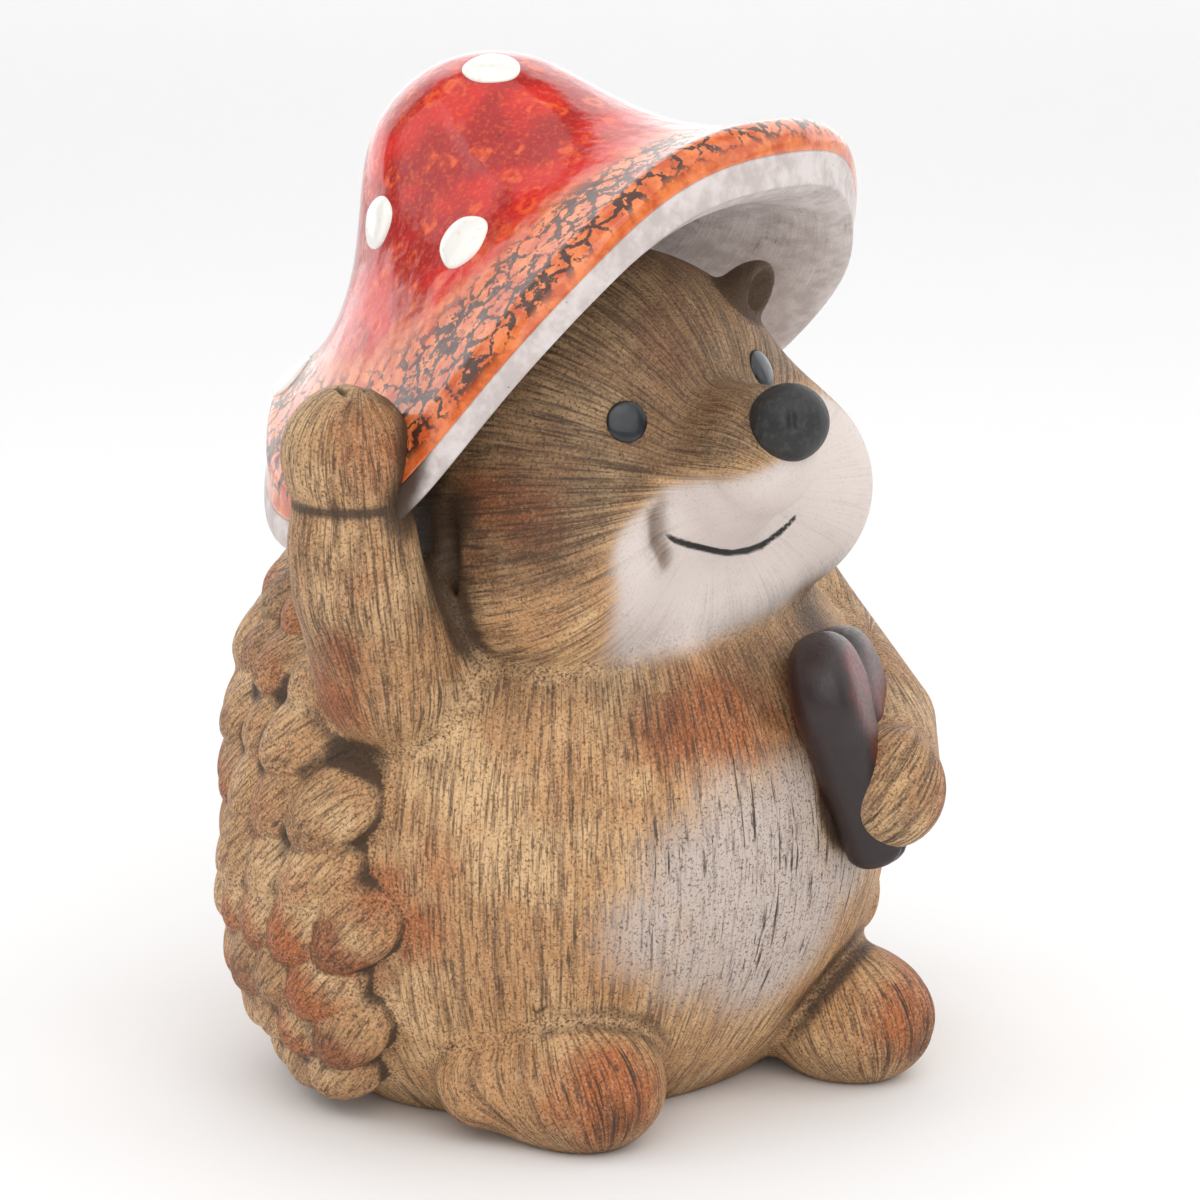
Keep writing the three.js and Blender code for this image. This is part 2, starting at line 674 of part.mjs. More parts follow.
// Hollows and holes: the clay is a wall round an empty middle, open from head to body and out at the base
const neckHole = solid(
  new THREE.CylinderGeometry(NECK_HOLE_DIAMETER / 2, NECK_HOLE_DIAMETER / 2, BELLY_HEIGHT / 2, 24)
    .rotateX(Math.PI / 2)
    .translate(headCore.x, headCore.y, headMiddle.z - BELLY_HEIGHT / 4),
);
const drain = solid(
  new THREE.CylinderGeometry(DRAIN_DIAMETER / 2, DRAIN_DIAMETER / 2, 4 * WALL, 24)
    .rotateX(Math.PI / 2)
    .translate(0, DRAIN_SET, 0),
);
const bodyHollow = body(-WALL, 3).subtract(
  solid(new THREE.BoxGeometry(FAR, FAR, FAR).translate(0, 0, WALL - FAR / 2)),
);

// Solids that the neighbours are cut with, a clearance larger all round
const aroundBody = body(CLEARANCE);
const aroundHead = head(CLEARANCE);
const aroundHat = hatBlock(CLEARANCE);
const aroundRightArm = rightArm(CLEARANCE);
const aroundLeftArm = leftArm(CLEARANCE);
const underQuills = underTable.translate([0, 0, CLEARANCE]);

piece(
  'torso',
  body().subtract(underTable).subtract(aroundHead).subtract(bodyHollow).subtract(drain),
  tanClay,
);
piece('head', head().subtract(head(-WALL, 3)).subtract(neckHole), tanClay, headSeat);
piece('hat_dome', hatBlock().subtract(hatHollow).subtract(aroundHead), redGlaze, hatSeat);
piece('hat_underside', liningBlock.subtract(aroundHead), creamPaint, hatSeat);

SPOTS.forEach(([turn, share], i) => {
  const seat = seatAt(onHat(turn, share), facing(outOfHat(turn, share)));
  const spot = ellipsoid(seat, vec(SPOT_DIAMETER, SPOT_DIAMETER, 2 * SPOT_PROUD + 2 * CLEARANCE), 12, 4);
  piece(`hat_spot_${i + 1}`, spot.subtract(aroundHat), whiteGlaze, seat);
});

sides.forEach(([side, sign, earForward]) => {
  const eyeAim = vec(sign * EYE_SPACING / 2, -EYE_FORWARD, EYE_LIFT).applyQuaternion(headTurn);
  const eyePlace = surfacePoint(headShape, headMiddle, eyeAim.normalize());
  const eyeSeat = seatAt(eyePlace, facing(outward(headShape, eyePlace)));
  const eye = ellipsoid(eyeSeat, vec(EYE_DIAMETER, EYE_DIAMETER, 2 * EYE_BULGE + 2 * CLEARANCE), 12, 6);
  piece(`${side}_eye`, eye.subtract(aroundHead), blackGlaze, eyeSeat);

  const earAim = vec(sign * Math.sin(radians(EAR_SPREAD)), -earForward, Math.cos(radians(EAR_SPREAD)));
  const earPlace = surfacePoint(headShape, headMiddle, earAim.applyQuaternion(headTurn).normalize());
  const earSeat = seatAt(earPlace, facing(outward(headShape, earPlace)));
  const ear = ellipsoid(earSeat, vec(EAR_WIDTH, EAR_DEPTH, EAR_HEIGHT), 12, 8);
  piece(`${side}_ear`, ear.subtract(aroundHead).subtract(aroundHat), tanClay, earSeat);

  const footSeat = seatAt(foot(sign).setZ(0));
  piece(`${side}_foot`, footBlock(sign).subtract(underTable).subtract(aroundBody), rustClay, footSeat);
});

const nosePlace = onHead(0, -MUZZLE_REACH - NOSE_FORWARD, MUZZLE_LIFT + NOSE_LIFT);
const noseSeat = seatAt(nosePlace, headTurn);
const nose = ellipsoid(noseSeat, vec(NOSE_WIDTH, NOSE_HEIGHT, NOSE_HEIGHT), 14, 10);
piece('nose', nose.subtract(aroundHead), blackPaint, noseSeat);

const aroundLimbs = aroundRightArm.add(aroundLeftArm);
piece(
  'right_arm',
  rightArm().subtract(aroundBody).subtract(aroundHead).subtract(aroundHat),
  rustClay,
  seatAt(rightShoulder),
);
piece('left_arm', leftArm().subtract(aroundBody).subtract(aroundHead), rustClay, seatAt(leftShoulder));
piece(
  'heart',
  heartBlock().subtract(aroundBody).subtract(aroundLeftArm).subtract(aroundHead),
  maroonGlaze,
  heartSeat,
);

bands.forEach((band, i) => {
  let coat = quillBand(band).subtract(underQuills).subtract(aroundBody).subtract(aroundLimbs);
  coat = coat.subtract(aroundHead).subtract(aroundHat);
  if (i > 0) {
    coat = coat.subtract(quillBand(bands[i - 1], CLEARANCE));
  }
  piece(`quill_band_${i + 1}`, coat, quillClay);
});

export default figure;
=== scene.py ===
# %% [markdown]
# # A hedgehog figurine in glazed earthenware
# The real figurine is poured from liquid clay in a plaster mould. While the clay is still soft, the maker adds the
# limbs, the heart and the quills, combs every surface with a stiff brush and rubs brown wash into the hollows. Only
# the toadstool hat gets a thick, wet-looking glaze.
#
# The clay parts melt into one another, so they are sculpted here as distance fields and turned into meshes in one
# go. The hat is turned on a lathe and then bent, and Geometry Nodes dab the white spots on it.

import math
from collections import Counter

import bpy
import numpy as np
from mathutils import Matrix, Vector
from mathutils.bvhtree import BVHTree


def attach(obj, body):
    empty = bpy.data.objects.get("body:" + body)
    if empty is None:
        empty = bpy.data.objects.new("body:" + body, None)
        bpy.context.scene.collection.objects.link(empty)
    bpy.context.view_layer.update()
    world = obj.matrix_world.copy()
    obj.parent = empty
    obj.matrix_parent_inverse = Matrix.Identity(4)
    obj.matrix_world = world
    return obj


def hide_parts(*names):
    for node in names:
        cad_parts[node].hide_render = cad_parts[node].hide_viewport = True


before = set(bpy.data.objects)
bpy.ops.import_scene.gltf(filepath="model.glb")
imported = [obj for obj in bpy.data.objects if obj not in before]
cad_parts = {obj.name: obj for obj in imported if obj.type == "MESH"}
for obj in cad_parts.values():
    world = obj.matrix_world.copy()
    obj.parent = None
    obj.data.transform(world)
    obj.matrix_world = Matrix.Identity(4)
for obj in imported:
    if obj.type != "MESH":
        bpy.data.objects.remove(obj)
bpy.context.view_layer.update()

# %% [markdown]
# ## Camera
# A long lens from a little above, 42 degrees round to the figure's right, as in a product photograph. The long lens
# keeps the far paw and the near paw at nearly the same scale.

# %% Camera
MM = 0.001
VIEW_AROUND = math.radians(42)
VIEW_ABOVE = math.radians(14)
CAMERA_DISTANCE = 960 * MM
LOOK_AT = Vector((0, 0, 78)) * MM
FIGURE_LEFT_OF_CENTRE = 3.36 * MM

sight = Vector((
    math.sin(VIEW_AROUND) * math.cos(VIEW_ABOVE),
    math.cos(VIEW_AROUND) * math.cos(VIEW_ABOVE),
    -math.sin(VIEW_ABOVE),
))
sight_right = Vector((math.cos(VIEW_AROUND), -math.sin(VIEW_AROUND), 0))

lens = bpy.data.cameras.new("long_lens")
lens.lens = 180
lens.sensor_width = 36
camera = bpy.data.objects.new("camera", lens)
bpy.context.scene.collection.objects.link(camera)
camera.location = LOOK_AT - sight * CAMERA_DISTANCE + sight_right * FIGURE_LEFT_OF_CENTRE
camera.rotation_euler = sight.to_track_quat("-Z", "Y").to_euler()
bpy.context.scene.camera = camera
print("camera at", camera.location)

# %% [markdown]
# ## Light
# The studio is a bright tent. A glowing cloth stands behind the figure, and soft lamps stand at its sides and above,
# so the glaze mirrors them along its edges. A wide lamp near the camera opens the shadows.

# %% Lights, world and floor
bpy.context.scene.view_settings.view_transform = "Standard"


def softbox(name, around, above, distance, size, watts):
    """A square area light that looks at the middle of the figure."""
    light = bpy.data.lights.new(name, "AREA")
    light.shape = "RECTANGLE"
    light.size, light.size_y = size
    light.energy = watts
    lamp = bpy.data.objects.new(name, light)
    bpy.context.scene.collection.objects.link(lamp)
    turn, rise = math.radians(around), math.radians(above)
    away = Vector((-math.sin(turn) * math.cos(rise), -math.cos(turn) * math.cos(rise), math.sin(rise)))
    lamp.location = LOOK_AT + away * distance
    lamp.rotation_euler = (-away).to_track_quat("-Z", "Y").to_euler()
    return lamp


softbox("left_tent", 128, 28, 0.9, (0.7, 1.0), 2)
softbox("right_tent", -50, 34, 0.9, (0.7, 1.0), 2)
softbox("top_tent", 60, 80, 0.9, (1.3, 1.3), 4)
softbox("front_fill", 30, 34, 1.5, (2.0, 1.3), 12)

TENT_GLOW = 0.3
world = bpy.data.worlds.new("white_tent")
world.use_nodes = True
world.node_tree.nodes["Background"].inputs["Color"].default_value = (1, 1, 1, 1)
world.node_tree.nodes["Background"].inputs["Strength"].default_value = TENT_GLOW
bpy.context.scene.world = world



def plain_cover(name, **sockets):
    """A plain material with a few values set on its shader."""
    made = bpy.data.materials.new(name)
    made.use_nodes = True
    for key, value in sockets.items():
        made.node_tree.nodes["Principled BSDF"].inputs[key.replace("_", " ")].default_value = value
    return made


def stage_sheet(name, corners, cover):
    """One big flat face that belongs to the studio and not to the figure."""
    mesh = bpy.data.meshes.new(name)
    mesh.from_pydata(corners, [], [(0, 1, 2, 3)])
    mesh.materials.append(cover)
    sheet = bpy.data.objects.new(name, mesh)
    bpy.context.scene.collection.objects.link(sheet)


FLOOR_HALF = 3.0
WALL_AWAY, WALL_HALF, WALL_FOOT, WALL_HEIGHT = 1.7, 2.6, -0.3, 2.0
WALL_GLOW = 1.15
floor_corners = [(x * FLOOR_HALF, y * FLOOR_HALF, 0) for x, y in ((-1, -1), (1, -1), (1, 1), (-1, 1))]
stage_sheet("floor", floor_corners, plain_cover("floor_paper", Base_Color=(0.93, 0.93, 0.93, 1), Roughness=0.9))
left_end, right_end = [(sight * WALL_AWAY + sight_right * WALL_HALF * side).to_2d() for side in (-1, 1)]
wall_corners = [(*left_end, WALL_FOOT), (*right_end, WALL_FOOT), (*right_end, WALL_HEIGHT), (*left_end, WALL_HEIGHT)]
stage_sheet("tent_wall", wall_corners, plain_cover(
    "tent_cloth", Emission_Color=(1, 1, 1, 1), Emission_Strength=WALL_GLOW,
))

# %% [markdown]
# ## Distances
# A distance field is a function that says how far a point lies outside a shape, and gives a negative number inside
# it. Two such shapes are joined by taking the smaller number, and a soft fold between them is a weighted mix near
# the place where both are equal. That is just what a wet finger does to a clay joint. Everything is in millimetres.

# %% Shapes as distances


def unit(vector):
    vector = np.asarray(vector, float)
    return vector / np.linalg.norm(vector)


def ellipsoid(points, centre, radii, turn=None):
    offset = points - np.asarray(centre, points.dtype)
    if turn is not None:
        offset = offset @ np.asarray(turn, points.dtype)
    scaled = offset / np.asarray(radii, points.dtype)
    near = np.sqrt((scaled ** 2).sum(-1))
    slope = np.sqrt(((scaled / np.asarray(radii, points.dtype)) ** 2).sum(-1)) + 1e-6
    return near * (near - 1) / slope


def taper(points, start, end, start_radius, end_radius):
    start, end = np.asarray(start, points.dtype), np.asarray(end, points.dtype)
    along = end - start
    share = np.clip(((points - start) @ along) / (along @ along), 0, 1)
    middle = start + share[..., None] * along
    return np.sqrt(((points - middle) ** 2).sum(-1)) - (start_radius + (end_radius - start_radius) * share)


def limb(points, stops, radii):
    shares = zip(stops[:-1], stops[1:], radii[:-1], radii[1:])
    return np.minimum.reduce([taper(points, *share) for share in shares])


def melt(first, second, softness):
    mix = np.clip(0.5 + 0.5 * (second - first) / softness, 0, 1)
    return second * (1 - mix) + first * mix - softness * mix * (1 - mix)


def carve(shape, tool, softness):
    return -melt(-shape, tool, softness)


def fade(value, start, end):
    """0 before start, 1 after end, smooth between."""
    share = np.clip((value - start) / (end - start), 0, 1)
    return share * share * (3 - 2 * share)


# %% [markdown]
# ## The members of the figure
# Each member gets its own function. The head lives in a frame that tips 7 degrees towards the raised paw. The sizes
# start from those of the solids and differ by a few millimetres at the snout and the raised paw.

# %% Places on a shape


def surface_point(shape, middle, aim):
    """Where a ray from the middle leaves the shape."""
    middle, aim = np.array(middle, float), unit(aim)
    inside, outside = 0.0, 120.0
    for _ in range(30):
        half = (inside + outside) / 2
        if shape((middle + aim * half)[None])[0] < 0:
            inside = half
        else:
            outside = half
    return middle + aim * inside


def way_out(shape, point):
    return unit([shape((point + step)[None])[0] - shape((point - step)[None])[0] for step in np.eye(3) * 0.5])


def turned_to(out, up=(0, 0, 1)):
    """A turn whose third axis is the way out."""
    out = unit(out)
    across = unit(np.cross(up, out))
    return np.stack([across, np.cross(out, across), out], -1)


# %% Head frame and head
HEAD_MIDDLE = np.array([0, -6, 103.0])
HEAD_TIP = math.radians(7)
HEAD_TURN = np.array([
    [math.cos(HEAD_TIP), 0, -math.sin(HEAD_TIP)],
    [0, 1, 0],
    [math.sin(HEAD_TIP), 0, math.cos(HEAD_TIP)],
])


def on_head(x, y, z):
    return HEAD_MIDDLE + HEAD_TURN @ np.array([x, y, z], float)


SKULL_MIDDLE, SKULL_RADII = on_head(-2, 1.5, 2.5), (35, 31.5, 31)
CHEEK_SIDE, CHEEK_RADII = 22, (18.6, 19, 18)
CHIN_MIDDLE, CHIN_RADII = on_head(0, -14, -21), (20, 14, 9)
SNOUT_ROOT, SNOUT_END, SNOUT_RADII = on_head(0, -17.5, 0.5), on_head(0.8, -34, 6), (16.3, 10.4)
NOSE_MIDDLE, NOSE_RADII = on_head(1.6, -41.8, 11.6), (6.6, 6.1, 6.1)
CHEEK_SOFTNESS, SNOUT_SOFTNESS = 8, 2.5


def head(points):
    shape = ellipsoid(points, SKULL_MIDDLE, SKULL_RADII, HEAD_TURN)
    for side in (-1, 1):
        cheek = ellipsoid(points, on_head(side * CHEEK_SIDE, -10.5, -9.5), CHEEK_RADII, HEAD_TURN)
        shape = melt(shape, cheek, CHEEK_SOFTNESS)
    shape = melt(shape, ellipsoid(points, CHIN_MIDDLE, CHIN_RADII, HEAD_TURN), CHEEK_SOFTNESS)
    return melt(shape, taper(points, SNOUT_ROOT, SNOUT_END, *SNOUT_RADII), SNOUT_SOFTNESS)


def on_face(across, up):
    """The front of the face at a place across and up, in the head's frame."""
    deep, front = -12.0, -50.0
    for _ in range(30):
        half = (deep + front) / 2
        if head(on_head(across, half, up)[None])[0] < 0:
            deep = half
        else:
            front = half
    return on_head(across, front, up)


MOUTH = [on_face(*stop) for stop in (
    (-14.2, -4.2), (-11.9, -5.9), (-9.2, -7.5), (-4.9, -9.6), (0.3, -11.8), (4.6, -12.7), (7.7, -12.7),
    (10.9, -11.6), (12.5, -10.6), (13.9, -9.5),
)]
MOUTH_WIDTHS = (0.2, 0.35, 0.45, 0.5, 0.5, 0.5, 0.5, 0.45, 0.35, 0.2)
DIMPLE = [on_face(*stop) for stop in ((-14, 0.5), (-15.5, -1.4), (-15.8, -4.6), (-14.4, -8.6))]
DIMPLE_WIDTHS = (0.1, 0.4, 0.4, 0.1)

EYE_AIMS = {-1: (-16.1, -24.9, 13.9), 1: (13.7, -24, 14.3)}
EAR_AIMS = {-1: (-0.669, -0.1, 0.743), 1: (0.669, -0.42, 0.743)}
EAR_RADII, EAR_BOWL_RADII, EAR_BOWL_PLACE = (5.2, 4.2, 7.5), (3.2, 2.6, 4.6), (0, -3.4, 3)
EYES, EARS = {}, {}
for side in (-1, 1):
    for places, aims in ((EYES, EYE_AIMS), (EARS, EAR_AIMS)):
        spot = surface_point(head, HEAD_MIDDLE, HEAD_TURN @ np.array(aims[side]))
        places[side] = (spot, turned_to(way_out(head, spot)))


def ear(points, side):
    middle, turn = EARS[side]
    _, forward, outward_step = EAR_BOWL_PLACE
    bowl = middle + turn @ np.array([0, 0, outward_step]) + np.array([0, forward, 0])
    shape = ellipsoid(points, middle, EAR_RADII, turn)
    return carve(shape, ellipsoid(points, bowl, EAR_BOWL_RADII, turn), 1)


# %% Body
BODY_MIDDLE = (0, 3, 45)
BELLY_MIDDLE, BELLY_RADII = (2, 3, 45), (53.5, 48.5, 50)
BACK_MIDDLE, BACK_RADII = (0, 9, 58), (43.5, 41, 40)
SEAT_MIDDLE, SEAT_RADII = (5, 7.5, 27), (56.5, 39.5, 38)
BODY_SOFTNESS = 8


def torso(points):
    shape = ellipsoid(points, BELLY_MIDDLE, BELLY_RADII)
    shape = melt(shape, ellipsoid(points, BACK_MIDDLE, BACK_RADII), BODY_SOFTNESS)
    return melt(shape, ellipsoid(points, SEAT_MIDDLE, SEAT_RADII), BODY_SOFTNESS)


# %% [markdown]
# The left paw sits on the chest where the solids have it, a little off the surface, because the heart lies under
# it. The raised arm has a fold at the wrist and three finger grooves.

# %% Limbs
RIGHT_ARM = [(-29, -2, 68.7), (-43.5, -5.5, 75), (-51.4, -7.2, 90), (-52.4, -6.8, 96.5)]
RIGHT_ARM_RADII = (13, 12, 10.5, 10)
RIGHT_PAW, RIGHT_PAW_RADII = np.array([-53.0, -6.3, 111.0]), (10.2, 9.9, 10.6)
WRIST, WRIST_RADIUS, CREASE_RADIUS, CREASE_HALF = np.array([-52.7, -6.6, 103.6]), 9.1, 10.2, 0.7
FINGER_STEP = 3.6
LEFT_SHOULDER = np.array([37.5, 1, 78.0])
LEFT_ELBOW = np.array([47, -5.5, 64.5])
paw_aim = unit((0.38, -0.91, 0.14))
LEFT_PAW_STAND, LEFT_PAW_RADII = 7.5, (8.2, 8.6, 9.6)
LEFT_PAW = surface_point(torso, BODY_MIDDLE, paw_aim) + LEFT_PAW_STAND * paw_aim
LEFT_FOREARM = (LEFT_ELBOW + LEFT_PAW) / 2 + np.array([2.5, -4, -1.5])
LEFT_ARM, LEFT_ARM_RADII = [LEFT_SHOULDER, LEFT_ELBOW, LEFT_FOREARM, LEFT_PAW], (12, 10, 9, 8)
FOOT_MIDDLES = {-1: np.array([-24.75, -26.5, 9.5]), 1: np.array([30.75, -30.5, 9.5])}
FOOT_RADII, HEEL_SIDE, HEEL_BACK, HEEL_RADII = (13.2, 15.8, 11.5), 11, 9, (8.5, 7.5)
FOOT_SPLAY, TOE_TURNS, TOE_RISES, TOE_WIDTHS = 30, (-17, 0, 17), (0.5, 0.2, -0.1, -0.4), (0.1, 0.45, 0.6, 0.5)
NUBS = [(-42.4, -15.9, 15.7), (-34.4, -28.4, 23.8)]


def right_arm(points):
    shape = limb(points, RIGHT_ARM, RIGHT_ARM_RADII)
    shape = melt(shape, ellipsoid(points, RIGHT_PAW, RIGHT_PAW_RADII), 1.2)
    shape = melt(shape, taper(points, RIGHT_ARM[-1], RIGHT_PAW, WRIST_RADIUS, WRIST_RADIUS), 1.6)
    x, y, z = np.moveaxis(points - WRIST, -1, 0)
    crease = np.hypot(np.hypot(x, y) - CREASE_RADIUS, z) - CREASE_HALF
    shape = carve(shape, crease, 1.6)
    for step in (-1, 0, 1):
        top = RIGHT_PAW + np.array([1.5 + FINGER_STEP * step, -4.5 + 1.2 * abs(step), 9.6])
        groove = limb(points, [top + (-1.2, -4.2, -3.6), top, top + (1.2, 5, 0)], (0.2, 0.5, 0.5))
        shape = carve(shape, groove, 1.2)
    return shape


def left_arm(points):
    shape = limb(points, LEFT_ARM, LEFT_ARM_RADII)
    return melt(shape, ellipsoid(points, LEFT_PAW, LEFT_PAW_RADII), 1.6)


def plain_foot(points, side):
    middle = FOOT_MIDDLES[side]
    shape = ellipsoid(points, middle, FOOT_RADII)
    return melt(shape, taper(points, middle, middle + (side * HEEL_SIDE, HEEL_BACK, 0), *HEEL_RADII), 4)


def toe_groove(side, around):
    """Stops down the front of a foot, from the top of the toes to the ground."""
    turn = math.radians(side * FOOT_SPLAY + around)
    aims = [(math.sin(turn), -math.cos(turn), rise) for rise in TOE_RISES]
    return [surface_point(lambda p: plain_foot(p, side), FOOT_MIDDLES[side], aim) for aim in aims]


TOE_GROOVES = {side: [toe_groove(side, around) for around in TOE_TURNS] for side in (-1, 1)}


def foot(points, side):
    shape = plain_foot(points, side)
    for stops in TOE_GROOVES[side]:
        shape = carve(shape, limb(points, stops, TOE_WIDTHS), 1.1)
    return shape


# %% [markdown]
# ## Quills
# Rows of soft lobes cover the back, each row staggered against the one above. Geometry Nodes could set them as
# copies on the body, but a copy keeps a hard line where it meets the clay. In the field each lobe melts in at its
# root, as pressed clay does, and only its tip stands free. A fixed seed turns and swells each lobe a little.

# %% Seats of the quill lobes
QUILL_TOP, QUILL_WIDTH, QUILL_SHRINK, QUILL_LEAST_WIDTH = 84, 12, 0.35, 9.2
QUILL_SPACING, ROW_STEP, BAND_COUNT = 0.95, 0.85, 4
QUILL_LEAN, QUILL_TURN_BACK, QUILL_STAND, QUILL_SLIDE = 0.27, 0.9, 0.15, 0.1
LOBE_SHAPE, LOBE_NARROWING = (0.6, 0.8, 0.35), 0.22
COAT_LEVELS, COAT_TURNS = (0, 12, 38, 65, 95), (90, 95, 101, 92, 84)
COAT_LOWEST_AIM, COAT_HIGHEST_AIM, COAT_REACH = 14, 65, 45
quill_chance = np.random.default_rng(11)


def coat_point(turn, height):
    level = min(max(height, COAT_LOWEST_AIM), COAT_HIGHEST_AIM)
    aim = (math.sin(turn), math.cos(turn), (height - level) / COAT_REACH)
    return surface_point(torso, (0, 3, level), aim)


def quill_lobe(turn, height, width):
    """A lobe's middle, its turn (across, along, out), its half sizes and its own random numbers."""
    root = coat_point(turn, height)
    out = way_out(torso, root)
    fall = np.array([0.12 * quill_chance.normal(), QUILL_TURN_BACK * abs(math.sin(turn)), -1])
    fall = unit(fall - out * (fall @ out))
    along = unit(fall + out * QUILL_LEAN)
    across = unit(np.cross(along, out))
    width *= 1 + 0.06 * quill_chance.normal()
    middle = root + out * QUILL_STAND * width + along * QUILL_SLIDE * width
    halves = np.array(LOBE_SHAPE) * width
    return middle, np.stack([across, along, np.cross(across, along)], -1), halves, quill_chance.random(3)


rows = []
height, width = QUILL_TOP, QUILL_WIDTH
while height > 4:
    rows.append((height, width))
    height, width = height - ROW_STEP * width, max(QUILL_LEAST_WIDTH, width - QUILL_SHRINK)
band_starts = [math.floor(band * len(rows) / BAND_COUNT + 0.5) for band in range(BAND_COUNT)]
lobes = []
for row, (height, width) in enumerate(rows):
    band = sum(row >= start for start in band_starts) - 1
    edge = math.radians(np.interp(height, COAT_LEVELS, COAT_TURNS))
    count = round(2 * edge * coat_point(math.pi / 2, height)[0] / (QUILL_SPACING * width))
    stagger = row % 2
    for i in range(count + stagger):
        turn = edge * ((2 * i + 1 - stagger) / count - 1)
        lobes.append((band,) + quill_lobe(turn, height, width))
print("quill rows:", len(rows), "bands start at", band_starts, "lobes:", len(lobes))


def in_lobe(points, middle, turn):
    return (points - middle.astype(points.dtype)) @ turn.astype(points.dtype)


def quill_shape(points, middle, turn, halves):
    place = in_lobe(points, middle, turn)
    narrow = 1 - LOBE_NARROWING * np.clip(place[..., 1] / halves[1], -1, 1)
    place = np.stack([place[..., 0] / narrow, place[..., 1], place[..., 2]], -1)
    return ellipsoid(place, (0, 0, 0), halves)


# %% [markdown]
# ## The grid
# The fields are worked out on a grid of 0.7 mm cells, which has to reach past every piece of clay, because what lies
# outside it is cut off flat. A small member is only worked out in a box around itself, which makes the sum fast.

# %% Work the fields out
CELL = 0.7
LOW = np.array([-66.0, -62.0, -2.1])
HIGH = np.array([71.0, 62.0, 140.0])
axes = [np.arange(low, high + CELL, CELL, dtype=np.float32) for low, high in zip(LOW, HIGH)]
FAR = 30.0


def boxed(low, high):
    """The part of the grid inside a box, as slices and as points."""
    spans = tuple(slice(*np.searchsorted(axis, (a, b))) for axis, a, b in zip(axes, low, high))
    inner = [axis[span] for axis, span in zip(axes, spans)]
    return spans, np.stack(np.meshgrid(*inner, indexing="ij"), -1)


def on_grid(shape, low=LOW, high=HIGH):
    """The shape's distance at every grid point inside the box, and FAR outside it."""
    out = np.full([len(axis) for axis in axes], FAR, np.float32)
    spans, points = boxed(low, high)
    out[spans] = np.minimum(shape(points), FAR)
    return out


def around(*spots, reach):
    spots = np.array(spots, float)
    return spots.min(0) - reach, spots.max(0) + reach


def quill_band(band):
    out = np.full([len(axis) for axis in axes], FAR, np.float32)
    for own_band, middle, turn, halves, _ in lobes:
        if own_band == band:
            spans, points = boxed(*around(middle, reach=halves.max() + 6))
            out[spans] = melt(out[spans], quill_shape(points, middle, turn, halves), 1.4)
    return out


members = {
    "torso": on_grid(torso, (-66, -52, -3), (64, 56, 104)),
    "head": on_grid(head, (-48, -58, 66), (48, 36, 140)),
    "right_arm": on_grid(right_arm, *around(*RIGHT_ARM, RIGHT_PAW, reach=24)),
    "left_arm": on_grid(left_arm, *around(*LEFT_ARM, reach=24)),
    "right_foot": on_grid(lambda p: foot(p, -1), *around(FOOT_MIDDLES[-1], reach=28)),
    "left_foot": on_grid(lambda p: foot(p, 1), *around(FOOT_MIDDLES[1], reach=28)),
    "right_ear": on_grid(lambda p: ear(p, -1), *around(EARS[-1][0], reach=14)),
    "left_ear": on_grid(lambda p: ear(p, 1), *around(EARS[1][0], reach=14)),
}
for band in range(BAND_COUNT):
    members[f"quill_band_{band + 1}"] = quill_band(band)
print("grid:", [len(axis) for axis in axes], "members:", list(members))

# %% [markdown]
# Each joint has its own softness. The ears and the quills meet the body in sharp folds, and the raised arm flows into
# the flank. Then the hollow between the raised arm and the cheek is cut and the casting nubs are set on. The mouth,
# the dimple beside it and the seats of the eyes are pressed in last.

# %% Join the members and press in the face
RECESS, RECESS_WIDTHS = [(-37, -15, 88), (-38.5, -13, 97), (-40, -11, 106)], (0.6, 1.2, 0.8)
EYE_SEAT_RADII = (3.4, 3.4, 1)
softness = {name: 2.2 for name in members if name.startswith("quill")}
softness.update(head=3, right_arm=4.5, left_arm=3, right_foot=3, left_foot=3, right_ear=2, left_ear=2)
clay = members["torso"]
for name in softness:
    clay = melt(clay, members[name], softness[name])
recess = on_grid(lambda p: limb(p, RECESS, RECESS_WIDTHS), (-50, -26, 74), (-24, 4, 118))
clay = carve(clay, recess, 3)
for nub in NUBS:
    nub = surface_point(lambda p: np.minimum(torso(p), foot(p, -1)), BODY_MIDDLE, np.array(nub) - BODY_MIDDLE)
    clay = melt(clay, on_grid(lambda p: ellipsoid(p, nub, (1.4, 1.4, 1.4)), *around(nub, reach=5)), 0.4)
mouth_box = around(*MOUTH, *DIMPLE, reach=6)
clay = carve(clay, on_grid(lambda p: limb(p, MOUTH, MOUTH_WIDTHS), *mouth_box), 1)
clay = carve(clay, on_grid(lambda p: limb(p, DIMPLE, DIMPLE_WIDTHS), *mouth_box), 2.5)
for spot, turn in EYES.values():
    socket = on_grid(lambda p: ellipsoid(p, spot, EYE_SEAT_RADII, turn), *around(spot, reach=8))
    clay = carve(clay, socket, 0.5)
clay = np.maximum(clay, -axes[2][None, None, :])
print("clay volume in ml:", round(float((clay < 0).sum()) * CELL ** 3 / 1000))

# %% [markdown]
# ## From field to mesh
# Surface nets put one vertex into every grid cell that the surface crosses, at the mean of the crossings, and join
# the four cells round each crossed grid edge with a quad. The result is an even mesh with no long thin faces. The
# vertices then slide along the slope of the field until they lie on the surface.

# %% Surface nets
CORNERS = [(a, b, c) for c in (0, 1) for b in (0, 1) for a in (0, 1)]
CELL_EDGES = [(0, 1), (2, 3), (4, 5), (6, 7), (0, 2), (1, 3), (4, 6), (5, 7), (0, 4), (1, 5), (2, 6), (3, 7)]


